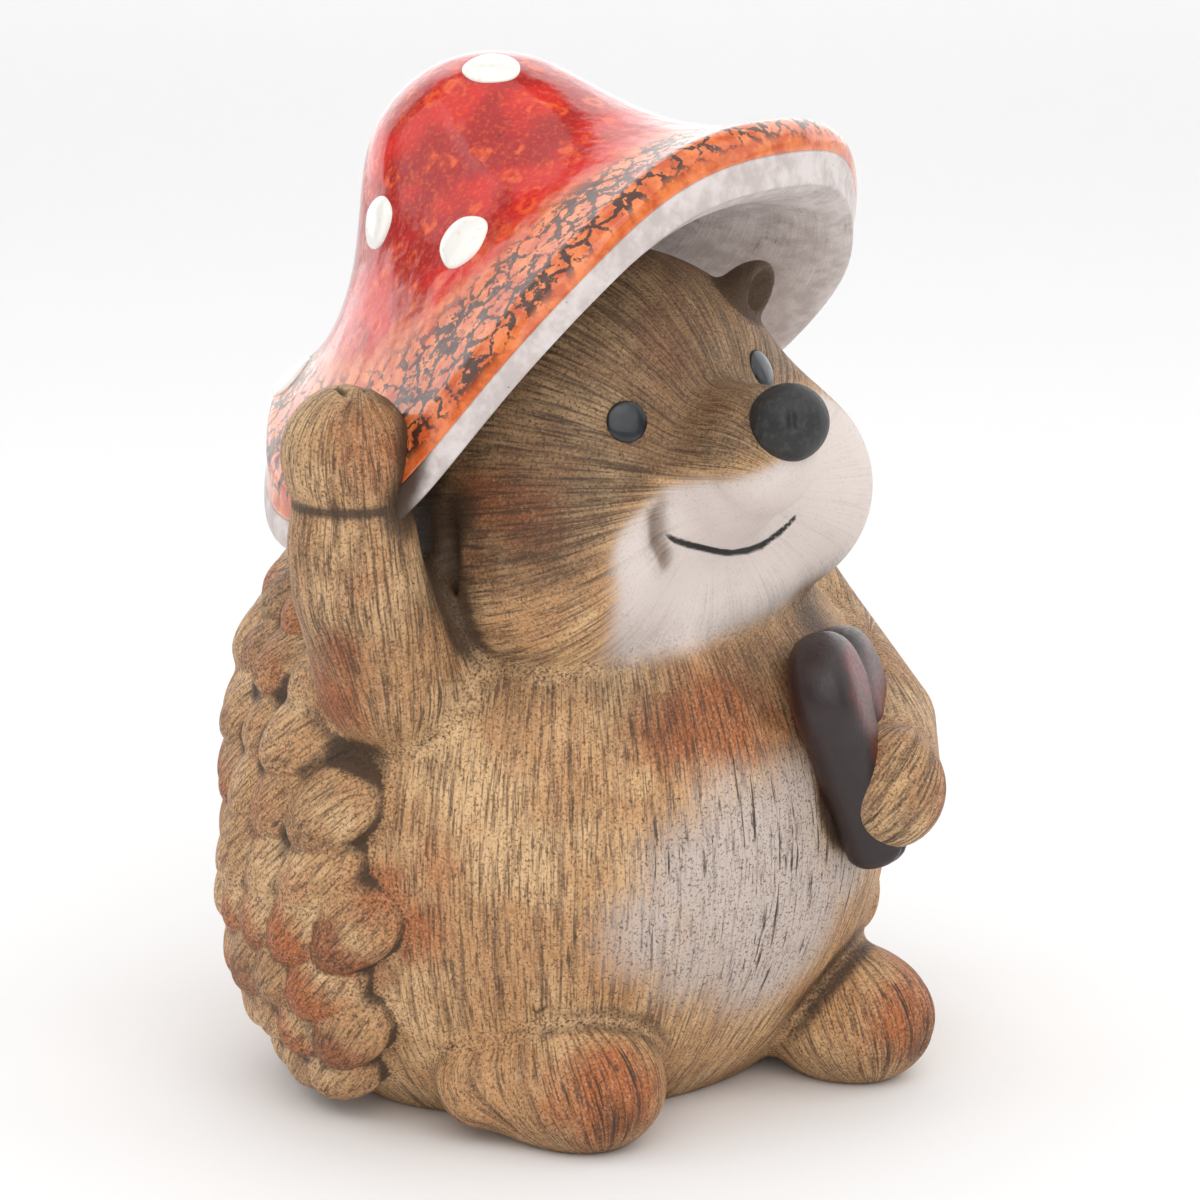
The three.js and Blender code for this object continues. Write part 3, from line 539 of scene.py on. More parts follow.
def surface_nets(field, origin, cell):
    inside = field < 0
    spans = [slice(0, -1), slice(1, None)]
    count = sum(inside[spans[a], spans[b], spans[c]].astype(np.int8) for a, b, c in CORNERS)
    crossed = (count > 0) & (count < 8)
    cells = np.argwhere(crossed)
    values = [field[tuple((cells + corner).T)] for corner in CORNERS]
    total, crossings = np.zeros((len(cells), 3)), np.zeros(len(cells))
    for a, b in CELL_EDGES:
        cut = (values[a] < 0) != (values[b] < 0)
        share = np.where(cut, values[a] / np.where(values[a] == values[b], 1, values[a] - values[b]), 0)
        start, end = np.array(CORNERS[a], float), np.array(CORNERS[b], float)
        total += cut[:, None] * (start + share[:, None] * (end - start))
        crossings += cut
    vertices = (cells + total / crossings[:, None]) * cell + origin
    number = np.full(crossed.shape, -1)
    number[crossed] = np.arange(len(cells))
    quads = []
    for axis, (u, v) in enumerate(((1, 2), (2, 0), (0, 1))):
        low, high = [slice(None)] * 3, [slice(None)] * 3
        low[axis], high[axis] = spans
        edges = np.argwhere(inside[tuple(low)] != inside[tuple(high)])
        edges = edges[(edges[:, u] > 0) & (edges[:, v] > 0)]
        edges = edges[(edges[:, u] < field.shape[u] - 1) & (edges[:, v] < field.shape[v] - 1)]
        ring = []
        for du, dv in ((1, 1), (0, 1), (0, 0), (1, 0)):
            place = edges.copy()
            place[:, u] -= du
            place[:, v] -= dv
            ring.append(number[tuple(place.T)])
        ring = np.stack(ring, -1)
        leaving = inside[tuple(edges.T)]
        ring[~leaving] = ring[~leaving][:, ::-1]
        quads.append(ring)
    return vertices, np.concatenate(quads)


def sample(field, origin, cell, points):
    """The field's value at any points, by blending the eight grid points round each."""
    place = (points - origin) / cell
    place = np.clip(place, 0, np.array(field.shape) - 1.001)
    base = place.astype(int)
    part = place - base
    value = 0
    for corner in CORNERS:
        weight = np.prod(np.where(corner, part, 1 - part), -1)
        value = value + weight * field[tuple((base + corner).T)]
    return value


def slope(field, origin, cell, points):
    step = np.eye(3) * cell
    ahead = [sample(field, origin, cell, points + s) - sample(field, origin, cell, points - s) for s in step]
    grade = np.stack(ahead, -1)
    return grade / (np.linalg.norm(grade, axis=-1, keepdims=True) + 1e-9)


skin, quads = surface_nets(clay, LOW, CELL)
outward = slope(clay, LOW, CELL, skin)
skin -= outward * np.clip(sample(clay, LOW, CELL, skin), -0.3, 0.3)[:, None]
outward = slope(clay, LOW, CELL, skin)
skin[:, 2] = np.maximum(skin[:, 2], 0)
print("clay skin:", len(skin), "vertices,", len(quads), "quads")

# %% [markdown]
# ## Hat shape
# The hat starts as a round cap. Its outline runs down the dome, out along the flare and round the rolled lip to the
# paint line. The cream paint of the underside starts there, on the rim's outer face. Turned round its axis, it gives
# a perfectly round cap, which no hand-finished hat is. So the brim is then bent: it droops at both sides and lifts at
# the front, the dome shifts a little, and the rim wavers.

# %% Hat outline, lathe and bend
HAT_MIDDLE = np.array([-0.3, 2.5, 114.9])
HAT_TURN = np.array(Matrix.Rotation(math.radians(-11.2), 3, "Y") @ Matrix.Rotation(math.radians(-30.6), 3, "X"))
HAT_RADIUS, HAT_HEIGHT, DOME_RADIUS, LIP_RADIUS = 52, 53, 21, 6
DOME_END, LIP_START = 37, 60
DISH_HEIGHT, DISH_RADIUS = 21, 51.5
SADDLE_HEIGHT, SADDLE_TURN = 10.9, math.radians(105.3)
TWIST_HEIGHT, TWIST_TURN = 2.9, math.radians(-9)
DOME_SHIFT = 3.9
PAINT_LINE = np.array([52, 4.6])
RIM_FOOT = 51.4
SHIFT_TURN = math.radians(-36)


def arc(middle, radius, start, end, steps):
    angles = np.radians(np.linspace(start, end, steps))
    return np.array(middle) + radius * np.stack([np.cos(angles), np.sin(angles)], -1)


def curve(stops, steps):
    """A cubic curve through its first and last stop."""
    a, b, c, d = np.array(stops, float)
    t = np.linspace(0, 1, steps)[:, None]
    return (1 - t) ** 3 * a + 3 * (1 - t) ** 2 * t * b + 3 * (1 - t) * t * t * c + t ** 3 * d


def evenly(line, steps):
    """The same line with evenly spaced points."""
    length = np.concatenate([[0], np.cumsum(np.linalg.norm(np.diff(line, axis=0), axis=1))])
    at = np.linspace(0, length[-1], steps)
    return np.stack([np.interp(at, length, line[:, i]) for i in (0, 1)], -1), length[-1]


def dish_height(radius):
    return DISH_HEIGHT * np.sin(math.pi / 2 * np.clip(1 - radius / DISH_RADIUS, 0, 1)) ** 1.45


def bend_hat(points):
    x, y, z = np.asarray(points, float).T
    radius, angle = np.hypot(x, y), np.arctan2(y, x)
    waver = (radius / HAT_RADIUS) ** 4
    radius = radius + waver * (0.3 * np.sin(5 * angle + 1) + 0.22 * np.sin(9 * angle + 2.2))
    brim = np.clip((radius / HAT_RADIUS - 0.27) / 0.7, 0, 1) ** 1.6
    saddle = SADDLE_HEIGHT * np.cos(2 * (angle - SADDLE_TURN))
    twist = TWIST_HEIGHT * np.cos(3 * (angle - TWIST_TURN))
    oval = 1 + 0.05 * np.clip(2 * radius / HAT_RADIUS - 1, 0, 1) * np.cos(2 * angle)
    shift = DOME_SHIFT * fade(z, 0, LIP_RADIUS + 2)
    bent = np.stack([
        radius * oval * np.cos(angle) + shift * math.cos(SHIFT_TURN),
        radius * oval * np.sin(angle) + shift * math.sin(SHIFT_TURN),
        z + brim * (saddle + twist) + waver * 0.3 * np.sin(7 * angle + 0.4),
    ], -1)
    return HAT_MIDDLE + bent @ HAT_TURN.T


def lathe(outline, around_count):
    """Turns an outline that starts and ends on the axis into a closed mesh."""
    angles = np.linspace(0, 2 * math.pi, around_count, endpoint=False)
    rings = outline[1:-1]
    points = np.stack([
        np.outer(rings[:, 0], np.cos(angles)),
        np.outer(rings[:, 0], np.sin(angles)),
        np.repeat(rings[:, 1:], around_count, 1),
    ], -1).reshape(-1, 3)
    points = np.vstack([[0, 0, outline[0, 1]], points, [0, 0, outline[-1, 1]]])
    last, final = len(points) - 1, len(rings) - 1
    faces = []
    for i in range(around_count):
        j = (i + 1) % around_count
        faces.append((0, 1 + i, 1 + j))
        for ring in range(final):
            low, high = 1 + ring * around_count, 1 + (ring + 1) * around_count
            faces.append((low + i, high + i, high + j, low + j))
        base = 1 + final * around_count
        faces.append((base + i, last, base + j))
    return points, faces


def way_down(degrees):
    """The way down an arc's outside, at an angle over the horizontal."""
    return np.array([math.sin(math.radians(degrees)), -math.cos(math.radians(degrees))])


DOME_PLACE, LIP_PLACE = (0, HAT_HEIGHT - DOME_RADIUS), (HAT_RADIUS - LIP_RADIUS, LIP_RADIUS)
flare_start = arc(DOME_PLACE, DOME_RADIUS, DOME_END, DOME_END, 1)[0]
lip_start = arc(LIP_PLACE, LIP_RADIUS, LIP_START, LIP_START, 1)[0]
flare = (flare_start, flare_start + 12 * way_down(DOME_END), lip_start - 26 * way_down(LIP_START), lip_start)
hat_outline, hat_run = evenly(np.vstack([
    arc(DOME_PLACE, DOME_RADIUS, 90, DOME_END, 24),
    curve(flare, 80)[1:],
    arc(LIP_PLACE, LIP_RADIUS, LIP_START, 0, 20)[1:],
    PAINT_LINE[None],
]), 130)
AROUND = 320
hidden_dish = np.linspace(RIM_FOOT - 0.8, 0, 24)
dish = np.linspace(RIM_FOOT - 0.3, 0, 70)
rim_face = curve((PAINT_LINE - (0.03, 0.04), (51.97, 3), (52, 0.5), (RIM_FOOT, 0.02)), 12)
dome_flat, dome_faces = lathe(np.vstack([
    hat_outline, PAINT_LINE - (0.5, 0.3), np.stack([hidden_dish, dish_height(hidden_dish) + 1.6], -1),
]), AROUND)
lining_flat, lining_faces = lathe(np.vstack([
    [(0, 22.2)], np.stack([hidden_dish[::-1], dish_height(hidden_dish[::-1]) + 0.7], -1)[1:],
    PAINT_LINE - (0.4, 0.5), rim_face, np.stack([dish, dish_height(dish)], -1),
]), AROUND)
dome_points, lining_points = bend_hat(dome_flat), bend_hat(lining_flat)
hat_wall = BVHTree.FromPolygons(
    [Vector(p) for p in np.vstack([dome_points, lining_points])],
    dome_faces + [tuple(i + len(dome_points) for i in face) for face in lining_faces],
)
print("hat outline %.1f mm, %d faces" % (hat_run, len(dome_faces) + len(lining_faces)))


def on_hat(turn, share):
    """A place on the outside of the hat, by its turn in degrees and its share of the way down."""
    at = share * (len(hat_outline) - 1)
    radius, height = (np.interp(at, np.arange(len(hat_outline)), hat_outline[:, i]) for i in (0, 1))
    return bend_hat([[radius * math.cos(math.radians(turn)), radius * math.sin(math.radians(turn)), height]])[0]


def out_of_hat(turn, share):
    down = on_hat(turn, share + 0.02) - on_hat(turn, share - 0.02)
    return unit(np.cross(down, on_hat(turn + 1, share) - on_hat(turn - 1, share)))


# %% [markdown]
# ## Paint masks
# The maker's colours follow the shape. Brown wash stays in the folds, where painted shade is laid in with it, white
# slip covers the muzzle and the belly, and rust oxide is dabbed on the chest, flank, cheeks and toes. Each becomes one
# number per vertex, which the material reads as an attribute.
#
# The wash and its painted shade come from the field itself. A point that looks out along its normal into open air
# reads a distance as long as its step. In a fold it reads less, and the difference is how hidden it is, which is
# painted as shade. Clay that touches the hat is darkened too, by its distance from the hat's wall: brown wash with
# painted shade under the brim.

# %% Wash with painted shade, rust, slip and ink on the clay


def hidden(points, normals, steps):
    """How much a fold shades each point, from 0 in the open to 1."""
    shade = [1 - sample(clay, LOW, CELL, points + normals * step) / step for step in steps]
    return np.clip(np.mean(shade, 0), 0, 1)


def dab(points, spots):
    """The strongest of several soft round dabs, each a place, a reach and a strength."""
    reach = [s * np.exp(-((points - np.array(p)) ** 2).sum(-1) / (2 * r * r)) for p, r, s in spots]
    return np.max(reach, 0)


def in_head(points):
    return (points - HEAD_MIDDLE) @ HEAD_TURN


RUST_DABS = [
    ((-13, -38, 66), 6.5, 0.8), ((-6, -40, 67), 7, 0.95), ((3, -41, 66), 5, 0.6),
    ((-47.7, -9, 41), 5, 0.8), ((-46, -14, 36), 5, 0.7), ((-48, -5, 29), 4.5, 0.7), ((-45, -18, 47), 4, 0.5),
    ((-33, -25, 101), 5, 0.8), ((-35, -19, 103), 5, 0.8), ((-36, -18, 93), 5, 0.55), ((-9, -28, 124), 5, 0.5),
    ((0, -26, 127), 5, 0.3), ((-30, -42, 11), 8, 0.9), ((-36, -36, 12), 6, 0.5), ((31, -46, 12), 6, 0.9),
    ((38, -40, 14), 6, 0.9), ((-56, -5, 72), 6, 0.8), ((-60, -10, 80), 5, 0.6), ((-58, -14, 92), 5, 0.4),
    ((-55, -14, 112), 6, 0.6), ((28, -57, 52), 5, 0.6), ((48, 20, 70), 8, 0.4), ((33, -25, 101), 6, 0.5),
    ((47, 0, 30), 8, 0.5),
]
SLIP_DABS = [
    ((-3, -45, 42), 14, 1.1), ((3, -44, 32), 13, 1.1), ((6, -45, 52), 10, 0.8), ((-12, -42, 30), 9, 0.8),
    ((-14, -43, 44), 10, 0.85), ((18, -42, 40), 9, 0.8), ((-20, -40, 36), 9, 0.8), ((-8, -43, 54), 8, 0.7),
]
# Dabs of brown wash and painted shade: the shade under the chin, between the raised arm and the cheek, and under the
# brim.
WASH_AND_SHADE_DABS = [
    ((-20, -30, 74), 7, 0.5), ((-34, -22, 76), 7, 0.5), ((-40, -14, 90), 6, 0.95), ((-38, -14, 100), 6, 0.95),
    ((-36, -16, 84), 5, 0.7), ((-16, -36, 72), 10, 0.5), ((4, -38, 73), 10, 0.55), ((14, -37, 74), 8, 0.6),
    ((-30, -27, 14), 5, 0.3), ((24, -31, 76), 7, 0.85), ((44, -38, 14), 5, 0.7), ((-48, -11, 121), 3.5, 0.8),
    ((34, -22, 84), 6, 0.8), ((-27, -44, 5), 6, 0.6), ((34, -48, 6), 6, 0.7), ((-6, -39, 66), 5, 0.3),
]
SCRATCH_DABS = [
    ((8, -46, 44), 12, 1), ((22, -42, 50), 10, 1), ((24, -40, 34), 9, 0.9), ((-2, -46, 58), 9, 0.9),
    ((-18, -42, 50), 9, 0.7), ((2, -46, 30), 9, 0.9), ((-28, -43, 10), 9, 1), ((32, -46, 12), 9, 0.9),
]
FACE_WASH, BODY_WASH, GROUND_DARKENING = 0.62, 0.14, 0.34


def face_slip(points):
    """The white of the muzzle, chin and lower cheeks, in the head's frame."""
    x, y, z = in_head(points).T
    border = 9.2 - np.where(x < 0, 0.42, 0.04) * np.abs(x)
    below_border = fade(border - z, -4, 4.5)
    front = fade(-y, 12, 24)
    return below_border * front * fade(z, -30, -21) * (1 - 0.85 * fade(-x, 20, 31))


def hat_gap(points, reach=9.0):
    """Each point's distance from the hat, up to a reach."""
    gap = np.full(len(points), reach)
    for i in np.flatnonzero(points[:, 2] > 84):
        found = hat_wall.find_nearest(Vector(points[i]), reach)
        if found[3] is not None:
            gap[i] = found[3]
    return gap


names = list(members)
nearness = np.stack([sample(members[name], LOW, CELL, skin) for name in names], -1)
nearest, in_front = nearness.argmin(-1), nearness.min(-1)
on_quill = np.char.startswith(np.array(names), "quill")[nearest]


def share_of(name, reach=4.0):
    """1 on a member, falling to 0 a few millimetres away from it."""
    return 1 - fade(nearness[:, names.index(name)] - in_front, 0, reach)


smooth = face_slip(skin)
slip = np.maximum(dab(skin, SLIP_DABS), smooth)
rust = dab(skin, RUST_DABS)
ink = np.clip(limb(skin, MOUTH, MOUTH_WIDTHS), -2, 2)
scratch = np.maximum(0.45, dab(skin, SCRATCH_DABS)) * (1 - smooth)
dimple = limb(skin, DIMPLE, (0.6, 1.4, 1.6, 1))
face_up = in_head(skin)[:, 2]
fold_strength, fold_start, fold_full = (
    np.where(on_quill, quills, rest) for quills, rest in ((1.15, 0.9), (0.06, 0.12), (0.42, 0.6))
)
# Painted shade in folds and creases, from how hidden each point is by nearby clay.
fold_shade = fade(hidden(skin, outward, (1.4, 3.5, 8)), fold_start, fold_full)
# Brown wash and painted shade together: shade in the folds, under the chin, under the brim and between arm and cheek.
wash_and_shade = np.maximum.reduce([
    fold_strength * fold_shade * (1 - 0.8 * smooth),
    dab(skin, WASH_AND_SHADE_DABS),
    # The dimple's brown: brown wash with painted shade in its soft crease.
    0.65 * (1 - fade(dimple, -1, 2.6)),
    0.3 * (1 - fade(dimple, 0, 6)) * smooth,
    # Painted shade under the brim, with brown wash, where the clay nears the hat's wall.
    0.9 * (1 - fade(hat_gap(skin), 0, 7)),
    FACE_WASH * share_of("head") * (1 - smooth) * (0.45 + 0.55 * fade(face_up, -16, -4)),
    np.full(len(skin), BODY_WASH),
    # Darker towards the ground.
    GROUND_DARKENING * (1 - fade(skin[:, 2], 2, 16)),
    1.3 * np.maximum(share_of("left_ear", 3), share_of("right_ear", 3)),
    0.35 * np.maximum(share_of("left_arm", 2), share_of("right_arm", 2)),
    0.9 * (1 - fade(np.abs(skin[:, 2] - WRIST[2]), 0.3, 1.8)) * share_of("right_arm"),
])
print("mean wash %.2f, rust %.2f, slip %.2f" % (wash_and_shade.mean(), rust.mean(), slip.mean()))

# %% [markdown]
# The comb marks need a direction. Each vertex gets a place on an unrolled cylinder round its member: two numbers go
# round the member, and the third goes along it, squeezed. Plain noise on that place comes out as long scratches
# along the member, with no seam. Each quill lobe is combed along its own length.

# %% Comb direction
ALONG_SQUEEZE = 0.07


def comb_round(points, centre, axis, radius):
    axis = unit(axis)
    side = unit(np.cross(axis, (0.31, 0.95, 0.05)))
    other = np.cross(axis, side)
    offset = points - np.array(centre, float)
    angle = np.arctan2(offset @ other, offset @ side)
    along = (offset @ axis) * ALONG_SQUEEZE
    return np.stack([radius * np.cos(angle), radius * np.sin(angle), along], -1)


muzzle_way = on_head(0, -34, 4) - on_head(0, 0, -2)
member_combs = {
    "torso": ((0, 3, 0), (0, 0, 1), 45),
    "head": (on_head(0, -20, -2), muzzle_way, 27),
    "right_arm": ((-47, -7, 90), (-0.12, 0, 1), 12),
    "left_arm": ((40, -26, 62), (0.25, 0.3, 1), 11),
    "right_foot": (FOOT_MIDDLES[-1], (0, -0.45, -0.9), 13),
    "left_foot": (FOOT_MIDDLES[1], (0, -0.45, -0.9), 13),
    "right_ear": (EARS[-1][0], (-0.5, 0, 1), 5),
    "left_ear": (EARS[1][0], (0.5, 0, 1), 5),
}
ranked = np.sort(nearness, -1)
calm = 1 - fade(ranked[:, 1] - ranked[:, 0], 0, 3.5)
comb = np.zeros((len(skin), 3))
for index, name in enumerate(names):
    if name in member_combs:
        mine = nearest == index
        comb[mine] = comb_round(skin[mine], *member_combs[name])
paw_gap = np.linalg.norm((skin - LEFT_PAW) / (1, 1, 1.1), axis=-1)
on_paw = (nearest == names.index("left_arm")) & (paw_gap < 11)
comb[on_paw] = comb_round(skin[on_paw], LEFT_PAW + (4, 6, 0), (-0.55, 0.22, -0.8), 12)
calm = np.maximum(calm, np.where(nearest == names.index("left_arm"), 1 - fade(np.abs(paw_gap - 11), 0, 2), 0))

lobe_gap = np.full(len(skin), 50.0)
quill_rust, quill_dark = np.zeros(len(skin)), np.zeros(len(skin))
for _, middle, turn, halves, luck in lobes:
    near = np.flatnonzero(on_quill & (np.abs(skin - middle).max(-1) < halves.max() + 4))
    gap = quill_shape(skin[near], middle, turn, halves)
    near, gap = near[gap < lobe_gap[near]], gap[gap < lobe_gap[near]]
    place = in_lobe(skin[near], middle, turn)
    tip = place[:, 1] / halves[1]
    lobe_gap[near] = gap
    comb[near] = place * (1, ALONG_SQUEEZE, 1) + 40 * luck
    quill_rust[near] = fade(luck[0], 0.2, 0.7) * fade(tip, -0.5, 0.8) * (0.6 + 0.4 * luck[2])
    quill_dark[near] = 0.3 * fade(luck[1], 0.7, 0.97) * fade(tip, -0.7, 0.7)
calm[on_quill] *= 0.6
rust = np.maximum(rust, quill_rust)
wash_and_shade = np.maximum(wash_and_shade, np.where(on_quill, 0.2 + quill_dark, 0))
slip = slip * (1 - 0.7 * wash_and_shade)
print("vertices by member:", {name: int((nearest == i).sum()) for i, name in enumerate(names)})

# %% [markdown]
# ## Combed clay
# One material serves all the bare clay. It builds up mostly as the maker does: tan clay first, then rust, white slip,
# dark specks, brown wash together with painted shade in the folds, scratches along the comb, and black ink last. Every
# step has its own noise, so no edge is clean. The same strokes and scratches lift and sink the surface through a bump.

# %% Node helper and colours


def paint(red, green, blue):
    """A paint colour as seen on screen, from 0 to 255, as the linear colour that the shader wants."""
    channels = [c / 255 for c in (red, green, blue)]
    return tuple(c / 12.92 if c <= 0.04045 else ((c + 0.055) / 1.055) ** 2.4 for c in channels) + (1.0,)


class Recipe:
    """A material's node tree, written as a list of steps."""

    def __init__(self, name):
        self.material = bpy.data.materials.new(name)
        self.material.use_nodes = True
        self.tree = self.material.node_tree
        self.shader = self.tree.nodes["Principled BSDF"]

    def add(self, kind, output=0, inputs=None, **settings):
        made = self.tree.nodes.new(kind)
        for key, value in settings.items():
            setattr(made, key, value)
        for key, value in (inputs or {}).items():
            self.feed(made, key, value)
        return made.outputs[output]

    def feed(self, made, key, value):
        if isinstance(value, bpy.types.NodeSocket):
            self.tree.links.new(value, made.inputs[key])
        else:
            made.inputs[key].default_value = value

    def attribute(self, name, output="Fac"):
        return self.add("ShaderNodeAttribute", output, attribute_name=name)

    def object_mm(self):
        place = self.add("ShaderNodeTexCoord", "Object")
        return self.add("ShaderNodeVectorMath", 0, {0: place, 1: (1000, 1000, 1000)}, operation="MULTIPLY")

    def noise(self, place, scale, detail=3.0, roughness=0.5, distortion=0.0):
        return self.add("ShaderNodeTexNoise", "Fac", {
            "Vector": place, "Scale": scale, "Detail": detail, "Roughness": roughness, "Distortion": distortion,
        })

    def between(self, value, low, high, out_low=0.0, out_high=1.0):
        return self.add("ShaderNodeMapRange", 0, {
            "Value": value, "From Min": low, "From Max": high, "To Min": out_low, "To Max": out_high,
        }, interpolation_type="SMOOTHSTEP")

    def math(self, operation, first, second=0.0):
        return self.add("ShaderNodeMath", 0, {0: first, 1: second}, operation=operation)

    def times(self, first, second):
        return self.math("MULTIPLY", first, second)

    def total(self, *terms):
        """The sum of several numbers, each given with its weight."""
        weighed = [value if weight == 1 else self.times(value, weight) for value, weight in terms]
        made = weighed[0]
        for value in weighed[1:]:
            made = self.math("ADD", made, value)
        return made

    def blend(self, factor, below, above):
        """A mix of two plain numbers."""
        made = self.tree.nodes.new("ShaderNodeMix")
        for index, value in ((0, factor), (2, below), (3, above)):
            self.feed(made, index, value)
        return made.outputs[0]

    def mix(self, factor, below, above):
        made = self.tree.nodes.new("ShaderNodeMix")
        made.data_type = "RGBA"
        for index, value in ((0, factor), (6, below), (7, above)):
            self.feed(made, index, value)
        return made.outputs[2]

    def bump(self, height, distance, strength):
        return self.add("ShaderNodeBump", "Normal", {"Height": height, "Distance": distance, "Strength": strength})

    def finish(self, **sockets):
        for key, value in sockets.items():
            self.feed(self.shader, key.replace("_", " "), value)
        return self.material


# %% Combed clay material
TAN_LIGHT = paint(230, 188, 138)
TAN_MID = paint(204, 154, 104)
TAN_DEEP = paint(94, 62, 36)
PALE_GRAIN = paint(228, 208, 178)
SLIP_BELLY = paint(208, 192, 182)
SLIP_FACE = paint(222, 209, 202)
SLIP_SHADE = paint(150, 126, 110)
RUST_ORANGE = paint(186, 98, 44)
RUST_DARK = paint(104, 54, 28)
SCRATCH_BROWN = paint(68, 50, 38)
# The wash's brown, also laid on as painted shade.
WASH_AND_SHADE_BROWN = paint(70, 50, 33)
INK_BLACK = paint(34, 32, 30)


def combed_clay():
    clay_paint = Recipe("combed_clay")
    comb_place = clay_paint.attribute("comb", "Vector")
    place = clay_paint.object_mm()
    calm_part = clay_paint.attribute("calm")
    smooth_slip = clay_paint.attribute("smooth")
    rough_part = clay_paint.math("SUBTRACT", 1.0, smooth_slip)
    grain = clay_paint.noise(place, 2.3, 3, 0.75)
    strokes = clay_paint.noise(comb_place, 0.8, 5, 0.65)
    strokes = clay_paint.blend(calm_part, strokes, clay_paint.noise(place, 0.5, 5, 0.65))
    hair = clay_paint.noise(comb_place, 2.4, 4, 0.65)
    hair = clay_paint.blend(calm_part, hair, grain)
    cloud = clay_paint.noise(place, 0.07, 4, 0.55)
    blotch = clay_paint.noise(place, 0.22, 5, 0.6)

    colour = clay_paint.mix(clay_paint.between(cloud, 0.4, 0.62), TAN_MID, TAN_LIGHT)
    colour = clay_paint.mix(clay_paint.between(strokes, 0.46, 0.68, 0, 0.6), colour, TAN_DEEP)
    colour = clay_paint.mix(clay_paint.between(hair, 0.48, 0.64, 0, 0.8), colour, TAN_DEEP)
    colour = clay_paint.mix(clay_paint.between(grain, 0.3, 0.46, 0.5, 0), colour, PALE_GRAIN)

    rust_edge = clay_paint.total((clay_paint.attribute("rust"), 1), (blotch, 0.7))
    rust_amount = clay_paint.between(rust_edge, 0.45, 1.15, 0, 0.9)
    rust_amount = clay_paint.times(rust_amount, clay_paint.between(grain, 0.32, 0.5, 0.5, 1))
    rust = clay_paint.mix(clay_paint.between(hair, 0.44, 0.64), RUST_ORANGE, RUST_DARK)
    colour = clay_paint.mix(rust_amount, colour, rust)

    slip_edge = clay_paint.total((clay_paint.attribute("slip"), 1), (grain, 0.7), (hair, 0.5))
    slip_amount = clay_paint.between(slip_edge, 0.85, 1.35)
    slip = clay_paint.mix(smooth_slip, SLIP_BELLY, SLIP_FACE)
    slip_dirt = clay_paint.between(hair, 0.48, 0.7, 0, 0.6)
    slip_dirt = clay_paint.times(slip_dirt, clay_paint.math("SUBTRACT", 1.1, smooth_slip))
    slip = clay_paint.mix(slip_dirt, slip, SLIP_SHADE)
    colour = clay_paint.mix(slip_amount, colour, slip)

    speckle = clay_paint.between(grain, 0.52, 0.66, 0, 0.85)
    speckle = clay_paint.times(speckle, clay_paint.math("SUBTRACT", 1.08, smooth_slip))
    colour = clay_paint.mix(speckle, colour, TAN_DEEP)

    # Brown wash together with painted shade in the folds, under the chin and under the brim.
    wash_shade_edge = clay_paint.total((clay_paint.attribute("wash_and_shade"), 1), (hair, 0.5), (blotch, 0.35), (grain, 0.3))
    wash_shade_amount = clay_paint.between(wash_shade_edge, 0.66, 1.5, 0, 0.95)
    colour = clay_paint.mix(wash_shade_amount, colour, WASH_AND_SHADE_BROWN)

    scratch = clay_paint.between(clay_paint.noise(comb_place, 1.5, 3, 0.6), 0.57, 0.66)
    patches = clay_paint.total((clay_paint.attribute("scratch"), 1), (clay_paint.noise(place, 0.14, 3, 0.6), 1))
    scratch = clay_paint.times(scratch, clay_paint.between(patches, 0.75, 1.25, 0, 0.95))
    scratch = clay_paint.times(scratch, clay_paint.math("SUBTRACT", 1.0, calm_part))
    colour = clay_paint.mix(scratch, colour, SCRATCH_BROWN)
    ink_amount = clay_paint.between(clay_paint.attribute("ink"), 0.1, 0.35, 1, 0)
    colour = clay_paint.mix(ink_amount, colour, INK_BLACK)

    relief = clay_paint.total((strokes, 0.5), (hair, -0.4), (scratch, -0.5), (grain, -0.5))
    relief = clay_paint.times(relief, clay_paint.math("ADD", rough_part, 0.15))
    return clay_paint.finish(
        Base_Color=colour,
        Roughness=clay_paint.between(grain, 0.3, 0.7, 0.5, 0.72),
        Normal=clay_paint.bump(relief, 0.0004, 0.8),
    )


clay_material = combed_clay()
print("clay nodes:", len(clay_material.node_tree.nodes))

# %% [markdown]
# ## Red glaze
# The glaze is poured on thick. Where it lies deep it breaks into small orange rings with darker middles. Towards the
# rim the maker wipes it off, sponges on orange and lets black flakes dry on top. The outline gives each vertex its
# distance from the paint line, and the border between red and orange follows that distance with some noise.

# %% Hat glaze material
GLAZE_RED = paint(212, 26, 14)
GLAZE_DEEP = paint(168, 12, 8)
RING_ORANGE = paint(240, 96, 34)
BRIM_ORANGE = paint(238, 132, 72)
BRIM_RUST = paint(206, 88, 38)
FLAKE_BLACK = paint(38, 28, 26)


